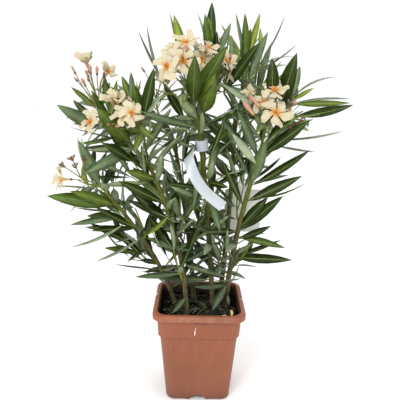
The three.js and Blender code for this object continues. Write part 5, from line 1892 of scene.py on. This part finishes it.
class OLEANDER_OT_compost(bpy.types.Operator):
    """Model the rough compost block that fills the pot"""

    bl_idname = "oleander.compost"
    bl_label = "Compost"

    def execute(self, context):
        low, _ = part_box("compost")
        bpy.ops.mesh.primitive_grid_add(x_subdivisions=SOIL_STEPS, y_subdivisions=SOIL_STEPS, size=SOIL_WIDTH)
        soil = bpy.context.active_object
        soil.name = "compost_block"
        for vertex in soil.data.vertices:
            x, y = into_rounded_square(vertex.co.x, vertex.co.y, SOIL_WIDTH)
            vertex.co = (x, y, soil_height(x, y))
        select_only(soil)
        bpy.ops.object.mode_set(mode="EDIT")
        bpy.ops.mesh.select_all(action="DESELECT")
        bpy.ops.mesh.select_mode(type="EDGE")
        bpy.ops.mesh.select_non_manifold(extend=False)
        for depth, shrink in SOIL_SIDE:
            bpy.ops.mesh.extrude_edges_move(TRANSFORM_OT_translate={"value": (0, 0, -depth)})
            bpy.ops.transform.resize(value=shrink, center_override=(0, 0, low.z + SOIL_LIFT))
        bpy.ops.mesh.edge_face_add()
        bpy.ops.mesh.select_all(action="SELECT")
        bpy.ops.mesh.normals_make_consistent(inside=False)
        bpy.ops.object.mode_set(mode="OBJECT")
        bpy.ops.object.shade_smooth()
        colour = context.scene.oleander.compost_colour
        soil.data.materials.append(plain_finish("moist peaty compost", colour, 0.9, 0.6, 350.0, 0.002, 0.08))
        finish_piece(soil, ["compost"])
        return {"FINISHED"}


# Litter on the compost
LUMP_COUNT = 1100
LUMP_FLAT = 0.7
FIBRE_COUNT = 70
LITTER_COUNT = 46
PEAT_SHARE = 0.6
FIBRE_MARGIN = 0.012
FIBRE_LENGTHS = (0.008, 0.030)
LITTER_MARGIN = 0.03
LITTER_LENGTHS = (0.026, 0.058)
LITTER_WIDTHS = (0.08, 0.17)
FALLEN_PETALS = (0.014, 0.021)

# Slots of the loose bits' materials
PEAT, DARK_PEAT, CHIP, PALE_CRUMB, FIBRE = range(5)

# Bark chips and pale crumbs: how many, their sizes, how flat they are, how high they lie, and their slot
LOOSE_BITS = (
    (60, (0.002, 0.0045), 0.3, 0.001, CHIP),
    (30, (0.0008, 0.002), 0.8, 0.0008, PALE_CRUMB),
)

# Fallen leaves that show: start and end on the compost, width, and which of the litter's finishes
LYING_LEAVES = (
    ((0.001, 0.028), (0.022, -0.037), 0.013, 3),
    ((-0.029, -0.031), (0.007, -0.009), 0.010, 1),
    ((-0.078, -0.010), (-0.043, -0.034), 0.009, 0),
    ((-0.034, 0.014), (-0.007, -0.030), 0.010, 0),
    ((0.036, 0.018), (0.055, -0.028), 0.009, 1),
)
FALLEN_PLACE = Vector((0.068, -0.070, SOIL_TOP + 0.010))
FALLEN_FACING = Vector((-0.1, -0.5, 0.8))


def soil_spot(draw, margin=0.006):
    """A random place on the compost."""
    half = SOIL_WIDTH / 2 - margin
    x, y = into_rounded_square(draw(-half, half), draw(-half, half), SOIL_WIDTH - 2 * margin)
    return Vector((x, y, soil_height(x, y)))


def lump(draw, size, flat):
    """A crumb of 20 faces, knocked out of round."""
    turn = Matrix.Rotation(draw(0, FULL_TURN), 3, "Z") @ Matrix.Rotation(draw(-0.4, 0.4), 3, "X")
    long = draw(1.0, 1.9)
    return [turn @ Vector((c.x * long, c.y, c.z * flat)) * size * draw(0.75, 1.2) for c in LUMP_CORNERS]


# Corners and faces of a crumb: a regular body of 20 three-cornered faces
FULL_TURN = 6.28
GOLDEN = (1 + math.sqrt(5)) / 2
LUMP_CORNERS = [Vector(p).normalized() for p in (
    (-1, GOLDEN, 0), (1, GOLDEN, 0), (-1, -GOLDEN, 0), (1, -GOLDEN, 0), (0, -1, GOLDEN), (0, 1, GOLDEN),
    (0, -1, -GOLDEN), (0, 1, -GOLDEN), (GOLDEN, 0, -1), (GOLDEN, 0, 1), (-GOLDEN, 0, -1), (-GOLDEN, 0, 1),
)]
LUMP_FACES = (
    (0, 11, 5), (0, 5, 1), (0, 1, 7), (0, 7, 10), (0, 10, 11), (1, 5, 9), (5, 11, 4), (11, 10, 2), (10, 7, 6),
    (7, 1, 8), (3, 9, 4), (3, 4, 2), (3, 2, 6), (3, 6, 8), (3, 8, 9), (4, 9, 5), (2, 4, 11), (6, 2, 10),
    (8, 6, 7), (9, 8, 1),
)


class OLEANDER_OT_litter(bpy.types.Operator):
    """Strew crumbs, bark chips, fibres, fallen leaves and one fallen flower over the compost"""

    bl_idname = "oleander.litter"
    bl_label = "Compost Crumbs and Litter"

    def execute(self, context):
        draw = Draw(71)
        crumbs = Batch()
        for _ in range(LUMP_COUNT):
            size = 0.0007 + 0.0022 * draw(0, 1) ** 2
            spot = soil_spot(draw)
            points = [spot + p for p in lump(draw, size, LUMP_FLAT)]
            crumbs.add(points, LUMP_FACES, slots=PEAT if draw(0, 1) < PEAT_SHARE else DARK_PEAT)
        for count, sizes, flat, lift, slot in LOOSE_BITS:
            for _ in range(count):
                spot = soil_spot(draw) + Vector((0, 0, lift))
                crumbs.add([spot + p for p in lump(draw, draw(*sizes), flat)], LUMP_FACES, slots=slot)
        for _ in range(FIBRE_COUNT):
            start = soil_spot(draw, FIBRE_MARGIN) + Vector((0, 0, 0.001))
            end = soil_spot(draw, FIBRE_MARGIN)
            end = start + (end - start).normalized() * draw(*FIBRE_LENGTHS)
            end.x, end.y = into_rounded_square(end.x, end.y, SOIL_WIDTH - 0.02)
            end.z = soil_height(end.x, end.y) + draw(0.001, 0.004)
            arch = Vector((draw(-0.004, 0.004), draw(-0.004, 0.004), draw(0.002, 0.006)))
            fibre = Limb(start, (start + end) / 2 + arch, end, (draw(0.0003, 0.0008), 0.0003))
            crumbs.add(*tube(fibre, 4, fibre.length / 5), FIBRE)
        brown = context.scene.oleander.compost_colour
        finishes = [
            plain_finish("peat crumb", shade(brown, 1.5), 0.9, 0.5, 400.0, shine=0.1),
            plain_finish("dark crumb", shade(brown, 0.6), 0.85, 0.5, 400.0, shine=0.1),
            plain_finish("bark chip", linear("#38261b"), 0.85, 0.35, 300.0),
            plain_finish("pale mineral crumb", linear("#a5a194"), 0.8, 0.1, 300.0),
            plain_finish("dry fibre", linear("#857b68"), 0.85, 0.3, 200.0),
        ]
        crumbs.piece("compost_crumbs", finishes, (), 30)
        self.strew_leaves(draw)
        self.drop_flower(draw)
        return {"FINISHED"}

    def strew_leaves(self, draw):
        """Shed leaves that lie on the compost, faded to grey-green and brown."""
        litter = Batch()
        for _ in range(LITTER_COUNT):
            spot = soil_spot(draw, LITTER_MARGIN) + Vector((0, 0, 0.003))
            turn = draw(0, 2 * math.pi)
            length = draw(*LITTER_LENGTHS)
            direction = Vector((math.cos(turn), math.sin(turn), draw(0.0, 0.25)))
            start = spot - direction * length / 2
            start.x, start.y = into_rounded_square(start.x, start.y, SOIL_WIDTH - 0.016)
            start.z = soil_height(start.x, start.y) + 0.003
            facing = Vector((draw(-0.5, 0.5), draw(-0.5, 0.5), 1))
            leaf = Leaf(
                start, direction, facing, length, length * draw(*LITTER_WIDTHS), "dark",
                draw(0.0, 0.5), draw(0.1, 0.5), draw(-0.8, 0.8),
            )
            litter.add(*leaf_mesh(leaf), int(draw(0, 2.99)))
        for (x, y), (end_x, end_y), width, finish in LYING_LEAVES:
            start = Vector((x, y, soil_height(x, y) + 0.004))
            reach = Vector((end_x, end_y, soil_height(end_x, end_y) + 0.008)) - start
            leaf = Leaf(start, reach, Vector((0, 0, 1)), reach.length, width, "dark", 0.25)
            litter.add(*leaf_mesh(leaf), finish)
        finishes = [
            leaf_skin("faded leaf", linear("#34422e"), 0.6, 0.15),
            leaf_skin("grey leaf", linear("#65705c"), 0.7, 0.15),
            leaf_skin("brown leaf", linear("#3a2d20"), 0.75, 0.15),
            leaf_skin("olive fallen leaf", linear("#56622c"), 0.6, 0.15),
        ]
        litter.piece("shed_leaves", finishes, ())

    def drop_flower(self, draw):
        """The fallen yellowed flower by the front right corner."""
        fallen = Batch()
        facing = FALLEN_FACING.normalized()
        for n in range(PETALS):
            turn = 2 * math.pi * n / PETALS + draw(-0.3, 0.3)
            points, faces, uvs = petal_mesh(draw(*FALLEN_PETALS), 0.8, turn, draw(0, 6), 0.55)
            fallen.add(placed(points, FALLEN_PLACE, facing), faces, uvs)
        skin = petal_skin("yellowed petal", linear("#e3cf84"), linear("#d9c78a"), linear("#d99a3c"))
        fallen.piece("fallen_flower", [skin], ())


# Labels
def label_loop(limb, t, inner, out):
    """Centre and axis of a loop that rests against a limb, hanging to one side of it."""
    tangent = limb.tangent(t)
    away = across(tangent, Vector(out))
    return limb.point(t) + away * (inner - limb.radius(t) - 2 * GAP), tangent, away


def strip_route(stem):
    centre, _, _ = label_loop(stem, STRIP_PLACE, STRIP_LOOP, STRIP_OUT)
    return [centre + Vector((-STRIP_LOOP, 0.001, -0.001)), *(Vector(p) for p in STRIP_ROUTE)]


def smooth_route(points, steps):
    """Points of a smooth curve through a route, with its direction at each."""
    padded = [2 * points[0] - points[1], *points, 2 * points[-1] - points[-2]]
    places = []
    for i in range(steps + 1):
        whole = min(i / steps * (len(points) - 1), len(points) - 1.0001)
        k = int(whole)
        t = whole - k
        a, b, c, d = padded[k:k + 4]
        point = 0.5 * (2 * b + (c - a) * t + (2 * a - 5 * b + 4 * c - d) * t ** 2
                       + (3 * b - a - 3 * c + d) * t ** 3)
        slope = 0.5 * ((c - a) + 2 * (2 * a - 5 * b + 4 * c - d) * t + 3 * (3 * b - a - 3 * c + d) * t ** 2)
        places.append((point, slope.normalized()))
    return places


def add_ribbon(batch, route, width, facing):
    """A thin strip along a route, whose face turns from one bearing to another on the way."""
    places = smooth_route(route, RIBBON_STEPS)
    grid = np.zeros((len(places), 5, 3))
    for i, (point, tangent) in enumerate(places):
        turned = min(1.0, 2 * i / RIBBON_STEPS)
        face = across(tangent, Vector(facing[0]).lerp(Vector(facing[1]), turned))
        wide = tangent.cross(face)
        for j in range(5):
            hand = j / 2 - 1
            curl = RIBBON_CURL * hand * hand * width / STRIP_WIDTH
            grid[i, j] = point + wide * hand * width / 2 - face * curl
    batch.add(*sheet(grid, LABEL_THICKNESS))


def add_loop(batch, limb, t, inner, height, out, patch=()):
    """A closed band round a limb; the steps in patch take the second colour."""
    centre, tangent, away = label_loop(limb, t, inner, out)
    side = tangent.cross(away)
    profile = [(inner, -1), (inner + LABEL_THICKNESS, -1), (inner + LABEL_THICKNESS, 1), (inner, 1)]
    points = []
    for i in range(LOOP_STEPS):
        turn = 2 * math.pi * i / LOOP_STEPS
        reach = swing(side, away, turn)
        points += [centre + reach * radius + tangent * end * height / 2 for radius, end in profile]
    faces = []
    slots = []
    for i in range(LOOP_STEPS):
        k = (i + 1) % LOOP_STEPS
        for j in range(4):
            m = (j + 1) % 4
            faces.append((i * 4 + m, k * 4 + m, k * 4 + j, i * 4 + j))
            slots.append(int(i in patch))
    batch.add(points, faces, slots=slots)


def card_outline():
    """The card's outline in its own plane: a rounded card with a round tab on its top edge."""
    half = CARD_WIDTH / 2
    arcs = [
        (half - CARD_CORNER, CARD_CORNER - CARD_HEIGHT, CARD_CORNER, -90, 0),
        (half - CARD_CORNER, -CARD_CORNER, CARD_CORNER, 0, 90),
        (0, CARD_TAB, CARD_TAB, 0, 180),
        (CARD_CORNER - half, -CARD_CORNER, CARD_CORNER, 90, 180),
        (CARD_CORNER - half, CARD_CORNER - CARD_HEIGHT, CARD_CORNER, 180, 270),
    ]
    outline = []
    for k, (x, y, radius, first, last) in enumerate(arcs):
        if k == 2:
            outline.append((CARD_TAB, 0))
        for i in range(ARC_STEPS + 1):
            turn = math.radians(lerp(first, last, i / ARC_STEPS))
            outline.append((x + radius * math.cos(turn), y + radius * math.sin(turn)))
        if k == 2:
            outline.append((-CARD_TAB, 0))
    return outline


def card_plate():
    """The card as a flat filled curve with its hole, made a mesh and stood up in its place."""
    curve = bpy.data.curves.new("card_plate", "CURVE")
    curve.dimensions = "2D"
    curve.fill_mode = "BOTH"
    curve.extrude = LABEL_THICKNESS / 2
    ring = [2 * math.pi * i / HOLE_STEPS for i in range(HOLE_STEPS)]
    middle = CARD_TAB + CARD_HOLE_RISE
    hole = [(CARD_HOLE * math.cos(a), middle + CARD_HOLE * math.sin(a)) for a in ring]
    for outline in (card_outline(), hole):
        spline = curve.splines.new("POLY")
        spline.points.add(len(outline) - 1)
        for point, (x, y) in zip(spline.points, outline):
            point.co = (x, y, 0, 1)
        spline.use_cyclic_u = True
    card = bpy.data.objects.new("card_plate", curve)
    bpy.context.scene.collection.objects.link(card)
    select_only(card)
    bpy.ops.object.convert(target="MESH")
    card = bpy.context.active_object
    card.data.transform(Matrix.Translation(CARD_PLACE) @ Matrix.Rotation(math.radians(90), 4, "X"))
    return card


class OLEANDER_OT_labels(bpy.types.Operator):
    """Model the blank strip label and the blank hang card"""

    bl_idname = "oleander.labels"
    bl_label = "Labels"

    def execute(self, context):
        colours = context.scene.oleander
        plant = plant_of(context)
        white = film("white label film", colours.label_colour, 0.35)
        blue = film("pale blue end of the film", colours.label_patch_colour, 0.35)
        stem = plant.stems["stem_centre"]
        strip = Batch()
        add_loop(strip, stem, STRIP_PLACE, STRIP_LOOP, STRIP_WIDTH, STRIP_OUT, PATCH_STEPS)
        add_ribbon(strip, strip_route(stem), STRIP_WIDTH, STRIP_FACING)
        strip.piece("strip_band", [white, blue], ["strip_label"], 40)
        rear = plant.stems["stem_rear_right"]
        centre, _, _ = label_loop(rear, CARD_LOOP_PLACE, CARD_LOOP, CARD_OUT)
        start = centre + Vector((CARD_LOOP, -0.001, 0))
        tab = Vector(CARD_PLACE) + Vector((-0.002, 0, CARD_TAB / 2))
        bend = start.lerp(tab, 0.5) + Vector((0.003, -0.002, 0))
        strap = Batch()
        add_loop(strap, rear, CARD_LOOP_PLACE, CARD_LOOP, CARD_STRAP, CARD_OUT)
        add_ribbon(strap, [start, bend, tab], CARD_STRAP, STRAP_FACING)
        paper = film("white hang card", linear("#d9d9d3"), 0.55)
        strap.piece("card_strap", [paper], ["card_label"], 40)
        card = card_plate()
        card.data.materials.clear()
        card.data.materials.append(paper)
        finish_piece(card, ["card_label"])
        return {"FINISHED"}


# Stage
LIGHTS = (
    ("key_light", (-1.1, -2.4, 2.3), 1.2, 46.0),
    ("fill_light", (2.4, -1.6, 1.6), 2.6, 12.0),
    ("back_light", (0.6, 2.6, 2.4), 2.4, 20.0),
)
LIGHT_AIM = (0, 0, 0.42)
FLOOR_SIZE = 60.0
SKY_STRENGTH = 1.04


def add_camera():
    camera = bpy.data.objects.new("camera", bpy.data.cameras.new("camera"))
    camera.data.lens = CAMERA_LENS
    camera.data.sensor_width = SENSOR_WIDTH
    camera.data.clip_start = 0.02
    right, up, ahead = CAMERA_AXES
    turned = Matrix((right, up, -ahead)).transposed().to_4x4()
    camera.matrix_world = Matrix.Translation(CAMERA_PLACE) @ turned
    bpy.context.scene.collection.objects.link(camera)
    bpy.context.scene.camera = camera


def add_light(name, place, size, power):
    data = bpy.data.lights.new(name, "AREA")
    data.shape = "DISK"
    data.size = size
    data.energy = power
    light = bpy.data.objects.new(name, data)
    light.location = place
    light.rotation_euler = (Vector(LIGHT_AIM) - Vector(place)).to_track_quat("-Z", "Y").to_euler()
    bpy.context.scene.collection.objects.link(light)


class OLEANDER_OT_stage(bpy.types.Operator):
    """Set the floor, the soft studio light and the camera"""

    bl_idname = "oleander.stage"
    bl_label = "Stage"

    def execute(self, context):
        bpy.ops.mesh.primitive_plane_add(size=FLOOR_SIZE, location=(0, 0, 0))
        floor = bpy.context.active_object
        floor.name = "floor"
        material, _, shader = blank_material("pale matt floor")
        feed(shader, {"Base Color": shade(context.scene.oleander.floor_colour), "Roughness": 0.9})
        floor.data.materials.append(material)
        for light in LIGHTS:
            add_light(*light)
        world = bpy.data.worlds.new("studio")
        world.use_nodes = True
        sky = {"Color": (1.0, 1.0, 1.0, 1.0), "Strength": SKY_STRENGTH}
        feed(world.node_tree.nodes["Background"], sky)
        context.scene.world = world
        context.scene.view_settings.view_transform = "Standard"
        add_camera()
        return {"FINISHED"}


def size_setting(name, description, default, low, high):
    return bpy.props.FloatProperty(
        name=name, description=description, default=default, min=low, max=high, unit="LENGTH", precision=4,
    )


def colour_setting(name, description, code):
    return bpy.props.FloatVectorProperty(
        name=name, description=description, default=linear(code)[:3], subtype="COLOR", size=3, min=0, max=1,
    )


class OleanderSettings(bpy.types.PropertyGroup):
    """Sizes and colours that a user would change"""

    leaf_length: size_setting("Leaf Length", "Length of a full-grown leaf", 0.124, 0.06, 0.2)
    leaf_share: bpy.props.FloatProperty(
        name="Leaf Width Share", description="Width of a leaf as a share of its length",
        default=0.15, min=0.05, max=0.4, subtype="FACTOR",
    )
    whorl_step: size_setting("Whorl Step", "Distance between whorls of leaves on a shoot", 0.025, 0.01, 0.08)
    flower_radius: size_setting("Flower Radius", "Radius of an open flower", 0.029, 0.01, 0.05)
    # The dark tint is dealt more often low in the crown, partly as painted shade
    dark_leaf_colour: colour_setting("Dark Leaf", "Old leaves in the depth of the crown", "#324218")
    green_leaf_colour: colour_setting("Green Leaf", "Full-grown leaves", "#566e2e")
    blue_leaf_colour: colour_setting("Blue-Green Leaf", "Full-grown leaves with a waxy bloom", "#607450")
    olive_leaf_colour: colour_setting("Olive Leaf", "Leaves that turn their dull side out", "#5a6b25")
    # The pale tint is a painted sheen: leaves lightened as if they caught the light
    painted_sheen_leaf_colour: colour_setting("Leaf with Painted Sheen", "Leaves that catch the light", "#a3b391")
    young_leaf_colour: colour_setting("Young Leaf", "Leaves at the tips of the shoots", "#829234")
    # The deep tint is the olive tint darkened as painted shade
    shaded_olive_leaf_colour: colour_setting("Olive Leaf with Painted Shade", "Broad leaves in front of the blossom", "#48591f")
    underside_colour: colour_setting("Leaf Underside", "Undersides of the leaves", "#87976f")
    rib_colour: colour_setting("Midrib", "Midribs of the leaves", "#84925c")
    wood_colour: colour_setting("Old Bark", "Bark low on the stems", "#574d38")
    green_wood_colour: colour_setting("Young Bark", "Bark high on the stems and on the shoots", "#585f20")
    petal_colour: colour_setting("Petal", "Middle of the petals", "#c1a779")
    petal_edge_colour: colour_setting("Petal Edge", "Ends of the petals", "#c7bd9f")
    throat_colour: colour_setting("Throat", "Throat of the flowers", "#d49444")
    tube_colour: colour_setting("Flower Tube", "Tubes of the flowers and feet of the buds", "#cdaa78")
    bud_colour: colour_setting("Bud", "Points of the buds", "#bd8b78")
    calyx_colour: colour_setting("Calyx", "Cups under the flowers", "#6d4a30")
    stalk_colour: colour_setting("Flower Stalk", "Stalks of the flowers", "#7b7837")
    dry_colour: colour_setting("Dried Stalk", "Stalks that have dropped their blossom", "#7a6040")
    pot_colour: colour_setting("Pot", "Plastic of the pot", "#8e5032")
    compost_colour: colour_setting("Compost", "Moist compost", "#100d0a")
    label_colour: colour_setting("Label", "Film and card of the labels", "#b2b9be")
    label_patch_colour: colour_setting("Label Patch", "Plain patch at the end of the strip label", "#6e9cb4")
    floor_colour: colour_setting("Floor", "The floor that the pot stands on", "#fafafa")


OPERATORS = (
    OLEANDER_OT_stage,
    OLEANDER_OT_pot,
    OLEANDER_OT_compost,
    OLEANDER_OT_litter,
    OLEANDER_OT_stems,
    OLEANDER_OT_twigs,
    OLEANDER_OT_leaves,
    OLEANDER_OT_blossom,
    OLEANDER_OT_labels,
)


class OLEANDER_PT_panel(bpy.types.Panel):
    """Lists the oleander's sizes, colours and pieces"""

    bl_idname = "OLEANDER_PT_panel"
    bl_label = "Potted Oleander"
    bl_space_type = "VIEW_3D"
    bl_region_type = "UI"
    bl_category = "Oleander"

    def draw(self, context):
        for name in OleanderSettings.__annotations__:
            self.layout.prop(context.scene.oleander, name)
        for operator in OPERATORS:
            self.layout.operator(operator.bl_idname)


CLASSES = (OleanderSettings, *OPERATORS, OLEANDER_PT_panel)


def register():
    for cls in CLASSES:
        bpy.utils.register_class(cls)
    bpy.types.Scene.oleander = bpy.props.PointerProperty(type=OleanderSettings)


def unregister():
    del bpy.types.Scene.oleander
    for cls in reversed(CLASSES):
        bpy.utils.unregister_class(cls)


def main():
    register()
    for operator in OPERATORS:
        group, name = operator.bl_idname.split(".")
        getattr(getattr(bpy.ops, group), name)()
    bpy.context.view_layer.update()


if __name__ == "__main__":
    main()
